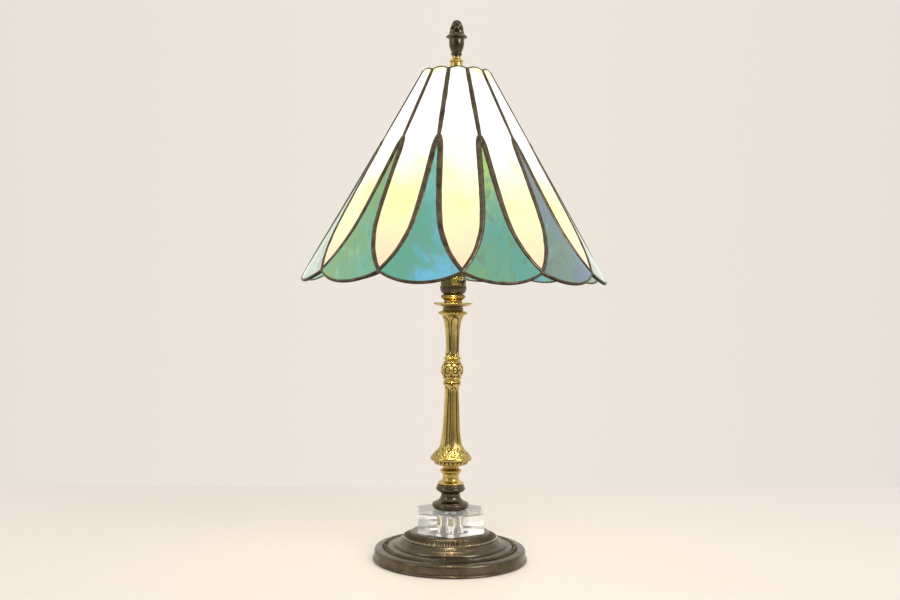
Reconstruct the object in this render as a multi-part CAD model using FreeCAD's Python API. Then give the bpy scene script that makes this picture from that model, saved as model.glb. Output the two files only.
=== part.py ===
import FreeCAD, Part
import math
import os

# Table lamp with a twelve-petal leaded-glass cone shade on a candlestick stand.
# Millimetres, +Z up. The origin is the centre of the foot, on the table top.
# The front of the lamp faces -Y and its power cord leaves the foot at the back, +Y.
# Every piece is its own solid, and the stand is a stack of pieces held on one threaded tube.

Vector = FreeCAD.Vector
UP = Vector(0, 0, 1)
ORIGIN = Vector(0, 0, 0)

# ---- Driving dimensions: stand ----
STEM_RADIUS = 5.0            # 1/8 IP lamp tube
STEM_BORE = 3.3
STEM_HOLE = 5.15             # clearance hole through every piece on the tube
STEM_BOTTOM = 13.0
STEM_TOP = 343.5

FELT = 1.5
FOOT_RADIUS = 98.5
FOOT_TOP = 36.6              # height of the plateau under the crystal
FOOT_WALL = 2.4
GASKET = 0.6
CRYSTAL_SIDES = 6
CRYSTAL_RADIUS = 48.5        # corner radius of the hexagon
CRYSTAL_HEIGHT = 26.6
CRYSTAL_BEVEL = 1.8
CRYSTAL_TURN = 2.5           # its front corner sits slightly to the right
BUSH_RADIUS = 9.0            # centring bushes let into both faces of the crystal
BUSH_DEPTH = 8.5
TOP_BUSH_DEPTH = 3.4
BUSH_GAP = 0.2
KNOP_HEIGHT = 32.2
SPOOL_HEIGHT = 25.2
LOWER_COLUMN_HEIGHT = 103.6
KNOT_HEIGHT = 36.6
UPPER_COLUMN_HEIGHT = 56.0
PAN_SEAT_HEIGHT = 5.6
PAN_THICKNESS = 1.2
PAN_RADIUS = 25.0
NECK_HEIGHT = 15.0

CRYSTAL_Z = FOOT_TOP + GASKET
KNOP_Z = CRYSTAL_Z + CRYSTAL_HEIGHT + GASKET
SPOOL_Z = KNOP_Z + KNOP_HEIGHT
LOWER_COLUMN_Z = SPOOL_Z + SPOOL_HEIGHT
KNOT_Z = LOWER_COLUMN_Z + LOWER_COLUMN_HEIGHT
UPPER_COLUMN_Z = KNOT_Z + KNOT_HEIGHT
PAN_SEAT_Z = UPPER_COLUMN_Z + UPPER_COLUMN_HEIGHT
PAN_Z = PAN_SEAT_Z + PAN_SEAT_HEIGHT
NECK_Z = PAN_Z + PAN_THICKNESS

# ---- Driving dimensions: lampholder and bulb ----
SOCKET_Z = NECK_Z + NECK_HEIGHT
SHELL_RADIUS = 16.25         # medium (E26) lampholder shell
SHELL_WALL = 0.5
SHELL_TOP = SOCKET_Z + 46.0
CONTACT_Z = SOCKET_Z + 26.0  # where the bulb's tip sits when it is screwed home
KNOB_AZIMUTH = 32.0          # turn knob, to the right of the front
KNOB_Z = SOCKET_Z + 16.4
BULB_BASE_RADIUS = 13.2
BULB_RADIUS = 30.0
THREAD_CLEARANCE = 0.08

# ---- Driving dimensions: shade ----
PETALS = 12
PITCH = 360.0 / PETALS
PETAL_AZIMUTH = 2.8          # first petal, to the right of the front
SHADE_TOP_Z = 618.5
SHADE_TOP_RADIUS = 44.2
SHADE_SLOPE = 0.569          # radius gained per unit of height lost
SHADE_DROP = 280.0           # a little past the lowest scallop
GLASS = 3.0
CAME_PROUD = 1.3             # came height above each face of the glass
CAME_HALF = 3.1              # half the came's width over the glass
RIB_HALF = 2.9
WEB_HALF = 0.8               # half the gap between neighbouring panes
POCKET_GAP = 0.05            # clearance around each pane in its came
TOP_RIM = 1.6                # came beyond the petals' top edges
LOWER_RIM = 1.7              # came beyond the lower panes' scallops
FORK_DROP = 87.0             # top ring to the fork between two petals
TIP_DROP = 249.8             # top ring to the petal's lower tip
SCALLOP_DEPTH = 14.3         # how far the lower panes hang below the petal tips, along the slope
TOP_ARCH = 3.4               # rise of each petal's top edge between two ribs
TIP_HALF_ANGLE = math.radians(34)

# ---- Driving dimensions: shade carrier and finial ----
SEAT_Z = 623.5               # top of the harp's seat
CAP_PLATE = 0.8
CROWN_Z = SEAT_Z + 2 * CAP_PLATE
STUD_RADIUS = 3.15           # 1/4-27 harp thread
STUD_TOP = CROWN_Z + 10.6
FINIAL_HEIGHT = 61.9
COLLAR_HEIGHT = 15.4
HARP_REACH = 54.0
HARP_WIRE = 1.6              # radius of the harp's wire
HARP_EAR = 21.4              # where its legs drop into the ring's ears
HARP_PLATE_Z = SEAT_Z - 3.4  # underside of its top plate

# ---- Driving dimensions: cord ----
CORD_RADIUS = 2.6
CORD_LEVEL = 6.5             # height of the cord where it leaves the foot
BACK = 180.0                 # azimuth where it leaves
COIL_RADIUS = 33.0
COIL_START = -65.0           # angle where the cord joins the coil, from its left-most point
COIL_TURNS = 2.6
COIL_Y = 154.8
PLUG_START = COIL_Y - 9.0    # back end of the plug's body
PLUG_LENGTH = 20.0
PLUG_WIDTH = 24.0
PLUG_HEIGHT = 13.0
PLUG_LEVEL = PLUG_HEIGHT / 2 + 0.2
BLADE_SPACING = 12.7
BLADE_WIDTH = 6.35
BLADE_THICKNESS = 1.5
BLADE_LENGTH = 16.0


# ---- Shape helpers ----

def at(radius, azimuth, z=0.0):
    """Point at an azimuth counted from the front (-Y) towards +X."""
    angle = math.radians(azimuth)
    return Vector(radius * math.sin(angle), -radius * math.cos(angle), z)


def turned_about(shape, azimuth):
    """Copy of a shape that was built at the front, carried round to an azimuth."""
    copy = shape.copy()
    copy.rotate(ORIGIN, UP, azimuth)
    return copy


def run_edge(start, run):
    """A run is one (r, z) corner, a pair for an arc, or a longer list for a smooth curve."""
    def place(point):
        return Vector(point[0], 0, point[1])
    if isinstance(run, tuple):
        return Part.makeLine(place(start), place(run)), run
    if len(run) == 2:
        arc = Part.Arc(place(start), place(run[0]), place(run[1]))
        if run[1][0] == 0:
            arc = arc.toNurbs()
        return arc.toShape(), run[1]
    curve = Part.BSplineCurve()
    curve.interpolate([place(start)] + [place(point) for point in run])
    return curve.toShape(), run[-1]


def turned(start, runs, z=0.0):
    """Solid of revolution from a closed half-section of (radius, height) runs."""
    edges = []
    here = start
    for run in runs + [start]:
        edge, here = run_edge(here, run)
        edges.append(edge)
    solid = Part.Face(Part.Wire(edges)).revolve(ORIGIN, UP, 360)
    solid.translate(Vector(0, 0, z))
    return solid


def on_stem(runs, height, z):
    """Turned piece threaded on the stem: the outline runs from the bottom edge to the top."""
    return turned((STEM_HOLE, 0), runs + [(STEM_HOLE, height)], z)


def ring(inner, outer, bottom, top):
    """Plain ring between two radii and two heights."""
    return turned((inner, bottom), [(outer, bottom), (outer, top), (inner, top)])


def rod(start, end, radius):
    """Round bar from one point to another."""
    return Part.makeCylinder(radius, start.distanceToPoint(end), start, end - start)


def wire_through(points, radius):
    """Round wire or cord that follows a smooth curve through points."""
    curve = Part.BSplineCurve()
    curve.interpolate(points)
    path = curve.toShape()
    section = Part.Circle(points[0], path.tangentAt(path.FirstParameter), radius)
    return Part.Wire([path]).makePipeShell([Part.Wire(section.toShape())], True, False)


# ---- Foot ----

def foot_outline():
    """Outside of the spun foot from its rim to the plateau under the crystal."""
    return [
        (FOOT_RADIUS, FELT + 1.2),
        (FOOT_RADIUS - 1.3, 3.6),
        (FOOT_RADIUS - 1.7, 12.6),
        [(FOOT_RADIUS - 2.2, 14.6), (FOOT_RADIUS - 4.5, 15.4)],
        (85.5, 16.4),
        [(83.2, 18.2), (81.0, 17.2)],
        (71.0, 19.4),
        [(70.2, 22.0), (67.5, 23.0)],
        [(63.5, 24.6), (60.5, 28.0), (58.0, 30.8)],
        (55.5, 31.4),
        [(52.5, 33.6), (48.0, FOOT_TOP)],
    ]


def foot():
    """Hollow spun foot: outer skin, open underneath, with the cord hole in its back wall."""
    skin = foot_outline()
    outline = [(FOOT_RADIUS, FELT)] + skin + [
        (STEM_HOLE, FOOT_TOP),
        (STEM_HOLE, FOOT_TOP - FOOT_WALL),
        (44.0, FOOT_TOP - FOOT_WALL),
        (57.0, 28.0),
        (64.5, 20.0),
        (93.0, 12.0),
        (FOOT_RADIUS - 1.7 - FOOT_WALL, 9.0),
        (FOOT_RADIUS - FOOT_WALL, FELT),
    ]
    body = turned(outline[0], outline[1:])
    cord_hole = rod(at(FOOT_RADIUS - 8, BACK, CORD_LEVEL), at(FOOT_RADIUS + 4, BACK, CORD_LEVEL), 4.4)
    return body.cut(cord_hole)


def foot_weight():
    """Cast-iron ballast under the foot, with a nut recess and a channel for the cord."""
    body = turned((STEM_HOLE, 20.5), [
        (15.0, 20.5),
        (15.0, 3.0),
        (88.0, 3.0),
        (88.0, 9.5),
        (66.0, 15.5),
        (40.0, 30.0),
        (36.0, FOOT_TOP - FOOT_WALL),
        (STEM_HOLE, FOOT_TOP - FOOT_WALL),
    ])
    channel = Part.makeBox(9.0, 80.0, 8.0, Vector(-4.5, 10.0, 2.5))
    return body.cut(channel)


def base_nut():
    """Hexagon nut that clamps the whole stack."""
    corners = [at(8.6, 60 * side, 14.0) for side in range(7)]
    prism = Part.Face(Part.makePolygon(corners)).extrude(Vector(0, 0, 5.0))
    return prism.cut(Part.makeCylinder(STEM_RADIUS + THREAD_CLEARANCE, 5.0, Vector(0, 0, 14.0)))


def lock_nut():
    """Thin hexagon nut that holds the lampholder's cap on the tube."""
    bottom = SOCKET_Z + 1.1
    corners = [at(7.6, 60 * side, bottom) for side in range(7)]
    prism = Part.Face(Part.makePolygon(corners)).extrude(Vector(0, 0, 2.2))
    return prism.cut(Part.makeCylinder(STEM_RADIUS + THREAD_CLEARANCE, 2.2, Vector(0, 0, bottom)))


def cord_bushing():
    """Rubber grommet in the foot's back wall."""
    inner = FOOT_RADIUS - 8.0
    outer = FOOT_RADIUS + 1.6
    sleeve = rod(at(inner, BACK, CORD_LEVEL), at(outer, BACK, CORD_LEVEL), 4.3)
    lip = rod(at(FOOT_RADIUS + 0.1, BACK, CORD_LEVEL), at(outer, BACK, CORD_LEVEL), 4.9)
    bore = rod(at(inner - 1, BACK, CORD_LEVEL), at(outer + 1, BACK, CORD_LEVEL), CORD_RADIUS + 0.1)
    return sleeve.fuse(lip).removeSplitter().cut(bore)


# ---- Crystal block and turned stack ----

def crystal_block():
    """Clear six-sided block, one corner to the front, bevelled edges, recessed for its two bushes."""
    turn = 360.0 / CRYSTAL_SIDES
    corners = [at(CRYSTAL_RADIUS, CRYSTAL_TURN + turn * side, CRYSTAL_Z) for side in range(CRYSTAL_SIDES + 1)]
    prism = Part.Face(Part.makePolygon(corners)).extrude(Vector(0, 0, CRYSTAL_HEIGHT))
    rims = [edge for edge in prism.Edges if edge.BoundBox.ZLength < 0.01]
    prism = prism.makeChamfer(CRYSTAL_BEVEL, rims)
    top = CRYSTAL_Z + CRYSTAL_HEIGHT
    prism = prism.cut(Part.makeCylinder(STEM_HOLE, CRYSTAL_HEIGHT, Vector(0, 0, CRYSTAL_Z)))
    radius = BUSH_RADIUS + BUSH_GAP
    depth = BUSH_DEPTH - GASKET + BUSH_GAP
    lower = Part.makeCone(radius, radius - 2.4, depth, Vector(0, 0, CRYSTAL_Z))
    upper_depth = TOP_BUSH_DEPTH - GASKET + BUSH_GAP
    upper = Part.makeCylinder(radius, upper_depth, Vector(0, 0, top - upper_depth))
    return prism.cut([lower, upper])


def centring_bushes():
    """Two bronze bushes that centre the crystal on the tube."""
    lower = Part.makeCone(BUSH_RADIUS, BUSH_RADIUS - 2.4, BUSH_DEPTH, Vector(0, 0, FOOT_TOP))
    lower = lower.cut(Part.makeCylinder(STEM_HOLE, BUSH_DEPTH, Vector(0, 0, FOOT_TOP)))
    upper = ring(STEM_HOLE, BUSH_RADIUS, KNOP_Z - TOP_BUSH_DEPTH, KNOP_Z)
    return Part.makeCompound([lower, upper])


def crystal_gaskets():
    """Two thin rings that keep metal off the crystal."""
    inner = BUSH_RADIUS + 0.6
    lower = ring(inner, 16.0, FOOT_TOP, CRYSTAL_Z)
    upper = ring(inner, 16.0, CRYSTAL_Z + CRYSTAL_HEIGHT, KNOP_Z)
    return Part.makeCompound([lower, upper])


def knop():
    """Dark bronze knop: broad lip at the bottom, waist, and a ring under the spool."""
    return on_stem([
        (18.5, 0.0),
        [(22.0, 2.6), (23.4, 5.8)],
        [(22.9, 8.3), (20.0, 9.6)],
        [(14.6, 12.4), (12.2, 17.0), (12.6, 21.0)],
        (15.0, 22.8),
        [(18.6, 25.4), (17.8, 29.0)],
        (16.4, KNOP_HEIGHT),
    ], KNOP_HEIGHT, KNOP_Z)


def brass_spool():
    """Spool with a foot flange, a waist and a sharp ring under the column."""
    return on_stem([
        (15.8, 0.0),
        [(16.2, 1.6), (15.2, 3.2)],
        [(11.2, 5.4), (10.2, 9.0), (10.6, 13.4)],
        (11.6, 15.2),
        [(13.9, 17.8), (11.6, 20.2)],
        (9.2, 21.2),
        (9.2, SPOOL_HEIGHT),
    ], SPOOL_HEIGHT, SPOOL_Z)


def column_lower():
    """Lower column, flaring to a torus edge over a straight band at its foot."""
    return on_stem([
        (13.0, 0.0),
        (19.6, 0.4),
        (21.2, 1.4),
        (21.8, 4.4),
        (23.6, 5.2),
        [(26.8, 8.0), (26.2, 11.0)],
        [(21.6, 16.0), (15.9, 21.4), (12.6, 31.0), (11.0, 43.5), (9.8, 64.0), (9.0, 84.0), (9.0, 96.0)],
        (9.9, 99.0),
        (9.9, LOWER_COLUMN_HEIGHT),
    ], LOWER_COLUMN_HEIGHT, LOWER_COLUMN_Z)


def column_knot():
    """Knot between the columns: ringed at both ends, full in the middle."""
    return on_stem([
        (10.4, 0.0),
        [(12.2, 2.0), (10.6, 4.2)],
        (9.8, 5.6),
        [(13.2, 11.4), (14.0, 17.2), (12.9, 22.6), (10.0, 26.6)],
        (9.4, 28.4),
        [(11.3, 31.4), (9.6, 34.4)],
        (9.0, KNOT_HEIGHT),
    ], KNOT_HEIGHT, KNOT_Z)


def column_upper():
    """Upper column: slim waist, opening into a flared rim."""
    return on_stem([
        (8.8, 0.0),
        [(8.4, 6.0), (8.9, 24.0), (9.6, 33.0), (10.6, 43.0), (12.6, 49.0)],
        [(15.4, 51.4), (18.4, 52.6)],
        [(19.2, 54.0), (18.4, 55.4)],
        (17.4, UPPER_COLUMN_HEIGHT),
    ], UPPER_COLUMN_HEIGHT, UPPER_COLUMN_Z)


def pan_seat():
    """Short collar under the drip pan."""
    return on_stem([
        (12.6, 0.0),
        [(13.2, 2.8), (12.2, PAN_SEAT_HEIGHT)],
    ], PAN_SEAT_HEIGHT, PAN_SEAT_Z)


def drip_pan():
    """Thin spun dish with a rolled rim."""
    rise = 4.6
    return turned((STEM_HOLE, 0), [
        (13.0, 0.0),
        [(20.0, 1.2), (PAN_RADIUS - 0.6, rise - 1.0)],
        [(PAN_RADIUS, rise - 0.2), (PAN_RADIUS - 0.8, rise)],
        [(19.6, 2.5), (12.8, PAN_THICKNESS)],
        (STEM_HOLE, PAN_THICKNESS),
    ], PAN_Z)


def socket_neck():
    """Brass neck with a bead, between the drip pan and the lampholder."""
    return on_stem([
        (12.2, 0.0),
        [(12.9, 3.0), (12.4, 7.4)],
        (13.4, 9.2),
        [(15.6, 11.6), (13.4, 13.8)],
        (12.4, NECK_HEIGHT),
    ], NECK_HEIGHT, NECK_Z)


# ---- Lampholder ----

def knob_hole(radius):
    """Radial hole that the switch shaft passes through."""
    return rod(at(4.0, KNOB_AZIMUTH, KNOB_Z), at(24.0, KNOB_AZIMUTH, KNOB_Z), radius)


def socket_cap():
    """Bell-shaped cap that the shell snaps into."""
    shell_room = SHELL_RADIUS + 0.05
    return turned((STEM_HOLE, 0.0), [
        (12.4, 0.0),
        [(15.4, 2.2), (17.0, 5.6)],
        (17.2, 9.4),
        (shell_room, 9.4),
        (shell_room, 5.4),
        [(14.6, 2.8), (11.8, 1.1)],
        (STEM_HOLE, 1.1),
    ], SOCKET_Z)


def socket_shell():
    """Brass outer shell, with the uno thread near its top drawn at its outer diameter."""
    body = ring(SHELL_RADIUS - SHELL_WALL, SHELL_RADIUS, SOCKET_Z + 5.6, SHELL_TOP)
    return body.cut(knob_hole(3.2))


def shell_liner():
    """Insulating paper sleeve inside the shell."""
    body = ring(14.95, 15.65, SOCKET_Z + 6.6, SHELL_TOP - 0.8)
    return body.cut(knob_hole(3.2))


def socket_body():
    """Moulded interior that carries the switch, the terminals and the screw shell."""
    bottom = SOCKET_Z + 7.0
    body = Part.makeCylinder(14.4, CONTACT_Z - 4.0 - bottom, Vector(0, 0, bottom))
    body = body.cut(knob_hole(1.75))
    body = body.cut(Part.makeCylinder(4.4, 5.0, Vector(0, 0, bottom)))
    for side in (-1, 1):
        start = Vector(side * 7.0, 0, KNOB_Z - 3.0)
        body = body.cut(rod(start, Vector(side * 12.0, 0, KNOB_Z - 3.0), 1.62))
        body = body.cut(rod(Vector(side * 11.6, 0, KNOB_Z - 3.0), Vector(side * 16.0, 0, KNOB_Z - 3.0), 3.3))
    return body


def terminal_screws():
    """Two brass screws on opposite sides of the moulded interior."""
    screws = []
    for side in (-1, 1):
        z = KNOB_Z - 3.0
        shank = rod(Vector(side * 7.2, 0, z), Vector(side * 12.0, 0, z), 1.55)
        head = rod(Vector(side * 11.8, 0, z), Vector(side * 13.7, 0, z), 2.9)
        screws.append(shank.fuse(head).removeSplitter())
    return Part.makeCompound(screws)


def socket_screw_shell():
    """Threaded sleeve that the bulb turns in, drawn at its clear bore."""
    bore = BULB_BASE_RADIUS + THREAD_CLEARANCE
    floor = CONTACT_Z - 4.0
    return turned((7.5, floor), [
        (bore + 0.6, floor),
        (bore + 0.6, CONTACT_Z + 17.0),
        (bore, CONTACT_Z + 17.0),
        (bore, floor + 0.5),
        (7.5, floor + 0.5),
    ])


def centre_contact():
    """Sprung brass tab under the bulb's tip."""
    return turned((0.0, CONTACT_Z - 4.0), [
        (4.2, CONTACT_Z - 4.0),
        (4.2, CONTACT_Z - 3.1),
        (3.6, CONTACT_Z - 1.2),
        [(1.8, CONTACT_Z - 0.44), (0.0, CONTACT_Z - 0.2)],
    ])


def switch_shaft():
    """Round spindle that turns in the moulded interior."""
    return rod(at(6.0, KNOB_AZIMUTH, KNOB_Z), at(22.0, KNOB_AZIMUTH, KNOB_Z), 1.65)


def switch_knob():
    """Small waisted turn knob, bored for the spindle."""
    profile = turned((0.0, 0.0), [
        (2.6, 0.0),
        (2.6, 0.8),
        [(3.3, 1.6), (4.3, 2.2)],
        (4.3, 5.2),
        [(3.6, 6.2), (0.0, 6.8)],
    ])
    profile = profile.cut(Part.makeCylinder(1.7, 4.3, ORIGIN))
    profile.rotate(ORIGIN, Vector(1, 0, 0), 90)
    profile.translate(Vector(0, -18.2, KNOB_Z))
    return turned_about(profile, KNOB_AZIMUTH)


# ---- Bulb ----

def bulb_contact():
    """Solder tip at the bottom of the bulb's base."""
    return turned((0.0, CONTACT_Z), [
        [(2.0, CONTACT_Z + 0.25), (3.8, CONTACT_Z + 0.95)],
        (4.4, CONTACT_Z + 2.4),
        (0.0, CONTACT_Z + 2.4),
    ])


def bulb_insulator():
    """Black glass ring between the tip and the screw base."""
    return turned((0.0, CONTACT_Z + 2.4), [
        (4.6, CONTACT_Z + 2.4),
        (12.4, CONTACT_Z + 5.4),
        (0.0, CONTACT_Z + 5.4),
    ])


def bulb_base():
    """Screw base, drawn at its outer diameter, closed to the neck of the globe."""
    bottom = CONTACT_Z + 5.4
    return turned((12.3, bottom), [
        (BULB_BASE_RADIUS - 0.4, bottom),
        (BULB_BASE_RADIUS, bottom + 1.0),
        (BULB_BASE_RADIUS, bottom + 20.0),
        (13.9, bottom + 21.0),
        (13.9, bottom + 23.6),
        (13.4, bottom + 23.6),
        (12.3, bottom + 20.0),
    ])


def globe_outline(radius, neck, inset):
    """Pear-shaped outline of the globe from neck to crown, inset for its inner face."""
    crown = BULB_RADIUS + 52.0
    return [
        [(neck + 2.0, 9.0), (radius * 0.78, 26.0), (radius, 52.0)],
        [(radius * 0.7071, 52.0 + radius * 0.7071), (0.0, crown - inset)],
    ]


def bulb_globe():
    """Blown glass globe, open at the neck."""
    bottom = CONTACT_Z + 29.0
    outer = turned((0.0, 0.0), [(13.6, 0.0)] + globe_outline(BULB_RADIUS, 13.6, 0.0), bottom)
    wall = 0.8
    inner = turned((0.0, -0.1), [(12.8, -0.1)] + globe_outline(BULB_RADIUS - wall, 12.8, wall), bottom)
    return outer.cut(inner)


def bulb_stem():
    """Glass mount that carries the filament."""
    bottom = CONTACT_Z + 29.3
    return turned((0.0, bottom), [
        (12.7, bottom),
        (12.7, bottom + 1.2),
        [(5.6, bottom + 6.0), (3.6, bottom + 16.0)],
        (3.2, bottom + 34.0),
        (0.0, bottom + 34.0),
    ])


def bulb_filament():
    """Two support wires and the coiled filament between them."""
    foot_z = CONTACT_Z + 52.0
    top_z = CONTACT_Z + 84.0
    points = [
        Vector(-5.2, 0, foot_z),
        Vector(-6.6, 0, foot_z + 12),
        Vector(-13.0, 0, top_z),
        Vector(-5.0, 0, top_z + 4),
        Vector(5.0, 0, top_z + 4),
        Vector(13.0, 0, top_z),
        Vector(6.6, 0, foot_z + 12),
        Vector(5.2, 0, foot_z),
    ]
    return wire_through(points, 0.45)


# ---- Shade: everything follows one cone ----

SLOPE_ANGLE = math.atan(SHADE_SLOPE)
SECTOR = math.radians(PITCH / 2)


def along(drop):
    """Distance down the slope for a drop in height."""
    return drop / math.cos(SLOPE_ANGLE)


def cone_radius(drop):
    """Radius of the glass's outer face at a drop below the top ring."""
    return SHADE_TOP_RADIUS + SHADE_SLOPE * drop


def cone_layer(inner, outer, above=8.0):
    """Conical layer between two offsets from the glass's outer face."""
    def corner(offset, drop):
        radius = cone_radius(drop) + offset / math.cos(SLOPE_ANGLE)
        return (radius, SHADE_TOP_Z - drop)
    start = corner(inner, SHADE_DROP)
    return turned(start, [corner(outer, SHADE_DROP), corner(outer, -above), corner(inner, -above)])


def wedge(azimuth_from, azimuth_to, shift=0.0):
    """Slice of space between two azimuths, moved outwards so that both cut faces step inwards."""
    reach = 400.0
    middle = (azimuth_from + azimuth_to) / 2
    corners = [at(0, 0), at(reach, azimuth_from), at(reach * 1.2, middle), at(reach, azimuth_to), at(0, 0)]
    slab = Part.Face(Part.makePolygon(corners)).extrude(Vector(0, 0, 400.0))
    slab.translate(at(shift / math.sin(math.radians((azimuth_to - azimuth_from) / 2)), middle, 300.0))
    return slab


def slope_prism(start, runs):
    """Solid from a flat outline of (across, down the slope) runs, pushed through the shade at the front."""
    edges = []
    here = start
    for run in runs + [start]:
        edge, here = run_edge(here, run)
        edges.append(edge)
    face = Part.Face(Part.Wire(edges))
    face.rotate(ORIGIN, Vector(1, 0, 0), 180)
    depth = 90.0
    prism = face.extrude(Vector(0, -depth, 0))
    prism.translate(Vector(0, depth / 2, 0))
    prism.rotate(ORIGIN, Vector(1, 0, 0), math.degrees(-SLOPE_ANGLE))
    prism.translate(Vector(0, -SHADE_TOP_RADIUS, SHADE_TOP_Z))
    return prism


def petal_prism(inset, top_inset=0.0):
    """Petal outline: arched top, sides that leave the ribs at the fork, pointed lower tip."""
    fork = cone_radius(FORK_DROP) * math.sin(SECTOR)
    tip = along(TIP_DROP) - inset / math.sin(TIP_HALF_ANGLE)
    side = [
        (fork - inset, along(FORK_DROP)),
        (22.8 - inset, along(104.0)),
        (24.2 - inset, along(142.0)),
        (24.8 - inset, along(172.0)),
        (22.8 - inset, along(202.6)),
    ]
    beyond = 34.0
    top = top_inset - TOP_ARCH
    shoulder = TOP_ARCH * 3
    low = (19.7 - inset, along(214.6))
    lower_arc = [(8.9 - inset * 0.85, along(237.8)), (0.0, tip)]
    mirror_arc = [(-8.9 + inset * 0.85, along(237.8)), (-low[0], low[1])]
    up_side = [(-across, down) for across, down in reversed(side)]
    return slope_prism((beyond, top + shoulder), [
        (beyond, along(FORK_DROP) - 6.0),
        (side[0][0], side[0][1] - 6.0),
        side,
        low,
        lower_arc,
        mirror_arc,
        up_side[0],
        up_side[1:] + [(-side[0][0], side[0][1] - 6.0)],
        (-beyond, along(FORK_DROP) - 6.0),
        (-beyond, top + shoulder),
        (-SHADE_TOP_RADIUS * math.sin(SECTOR), top_inset),
        [(0.0, top), (SHADE_TOP_RADIUS * math.sin(SECTOR), top_inset)],
    ])


def pane_prism(inset):
    """Everything above the scalloped lower edge of one pane."""
    tip_radius = cone_radius(TIP_DROP)
    corner_across = tip_radius * math.sin(SECTOR)
    sag = tip_radius * (1 - math.cos(SECTOR)) * math.sin(SLOPE_ANGLE)
    corner_down = along(TIP_DROP) - sag - inset
    beyond = corner_across + 12.0
    rise = 8.0
    lowest = along(TIP_DROP) + SCALLOP_DEPTH - inset
    return slope_prism((-beyond, -20.0), [
        (beyond, -20.0),
        (beyond, corner_down - rise),
        (corner_across, corner_down),
        [(0.0, lowest), (-corner_across, corner_down)],
        (-beyond, corner_down - rise),
    ])


def petal_space(inset, rib_inset, top_inset):
    """Space that one petal fills, stepped in from its cames."""
    space = petal_prism(inset, top_inset)
    return space.common(wedge(-PITCH / 2, PITCH / 2, rib_inset))


def pane_space(inset, petal_inset):
    """Space that one lower pane fills, between two petals and above the scallop."""
    space = pane_prism(inset).common(wedge(-PITCH / 2, PITCH / 2))
    for side in (-1, 1):
        space = space.cut(turned_about(petal_space(-petal_inset, -petal_inset, -20.0), side * PITCH / 2))
    return space


def biggest(shape):
    """The largest solid of a shape."""
    return max(shape.Solids, key=lambda solid: solid.Volume)


def petal_pane(gap):
    """Glass of one petal at the front, grown by a gap to make its pocket."""
    layer = cone_layer(-GLASS - gap, gap)
    return biggest(layer.common(petal_space(WEB_HALF - gap, WEB_HALF - gap, WEB_HALF - gap)))


def lower_pane(gap):
    """Glass of one lower pane at the front, grown by a gap to make its pocket."""
    layer = cone_layer(-GLASS - gap, gap)
    return biggest(layer.common(pane_space(WEB_HALF - gap, WEB_HALF - gap)))


def below_arch(rise):
    """Everything below one petal's arched top edge, raised by the came's own width."""
    across = SHADE_TOP_RADIUS * math.sin(SECTOR)
    beyond = 70.0
    bottom = 400.0
    shoulder = TOP_ARCH * 3
    return slope_prism((-beyond, bottom), [
        (beyond, bottom),
        (beyond, shoulder),
        (across, -rise),
        [(0.0, -TOP_ARCH - rise), (-across, -rise)],
        (-beyond, shoulder),
    ])


def leading():
    """The soldered came network, one solid: built as half a repeat, mirrored and carried round."""
    layer = cone_layer(-GLASS - CAME_PROUD, CAME_PROUD)
    half = layer.common(wedge(0, PITCH / 2))
    half = half.common(below_arch(TOP_RIM))
    half = half.common(turned_about(pane_prism(-LOWER_RIM), PITCH / 2))
    openings = [
        petal_space(CAME_HALF, RIB_HALF, TOP_RIM),
        petal_pane(POCKET_GAP),
        turned_about(pane_space(LOWER_RIM, CAME_HALF), PITCH / 2),
        turned_about(lower_pane(POCKET_GAP), PITCH / 2),
    ]
    for opening in openings:
        half = half.cut(opening)
    mirrored = half.mirror(ORIGIN, Vector(1, 0, 0))
    repeats = []
    for index in range(PETALS):
        azimuth = PETAL_AZIMUTH + PITCH * index
        repeats.append(turned_about(half, azimuth))
        repeats.append(turned_about(mirrored, azimuth))
    return repeats[0].multiFuse(repeats[1:]).removeSplitter()


def petal_panels():
    """The twelve equal petals."""
    pane = petal_pane(0.0)
    return Part.makeCompound([turned_about(pane, PETAL_AZIMUTH + PITCH * index) for index in range(PETALS)])


def shade_cap():
    """Vented spun cap soldered inside the top of the shade."""
    rim_z = SHADE_TOP_Z - 4.0
    rim = SHADE_TOP_RADIUS - 4.1
    body = turned((STUD_RADIUS + 0.4, SEAT_Z + CAP_PLATE), [
        (13.0, SEAT_Z + CAP_PLATE),
        [(27.0, SEAT_Z - 1.6), (rim - 0.4, rim_z)],
        (rim + 0.5, rim_z),
        [(27.4, SEAT_Z - 0.8), (13.2, CROWN_Z)],
        (STUD_RADIUS + 0.4, CROWN_Z),
    ])
    for index in range(8):
        vent = Part.makeCylinder(3.0, 20.0, at(26.0, 45 * index + PETAL_AZIMUTH, SHADE_TOP_Z - 8.0))
        body = body.cut(vent)
    return body


# ---- Shade carrier ----

def harp_ring():
    """Threaded ring on the shell, with an ear on each side for the harp."""
    bottom = SHELL_TOP - 13.0
    inner = SHELL_RADIUS + 0.05
    body = ring(inner, SHELL_RADIUS + 3.2, bottom, bottom + 6.0)
    for side in (-1, 1):
        ear = Part.makeBox(6.0, 8.0, 3.0, Vector(-3.0, -4.0, bottom))
        ear.translate(Vector(side * 20.6, 0, 0))
        body = body.fuse(ear)
    body = body.cut(Part.makeCylinder(inner, 6.0, Vector(0, 0, bottom)))
    for side in (-1, 1):
        body = body.cut(Part.makeCylinder(HARP_WIRE + 0.2, 8.0, Vector(side * HARP_EAR, 0, bottom - 1.0)))
    return body.removeSplitter()


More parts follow.
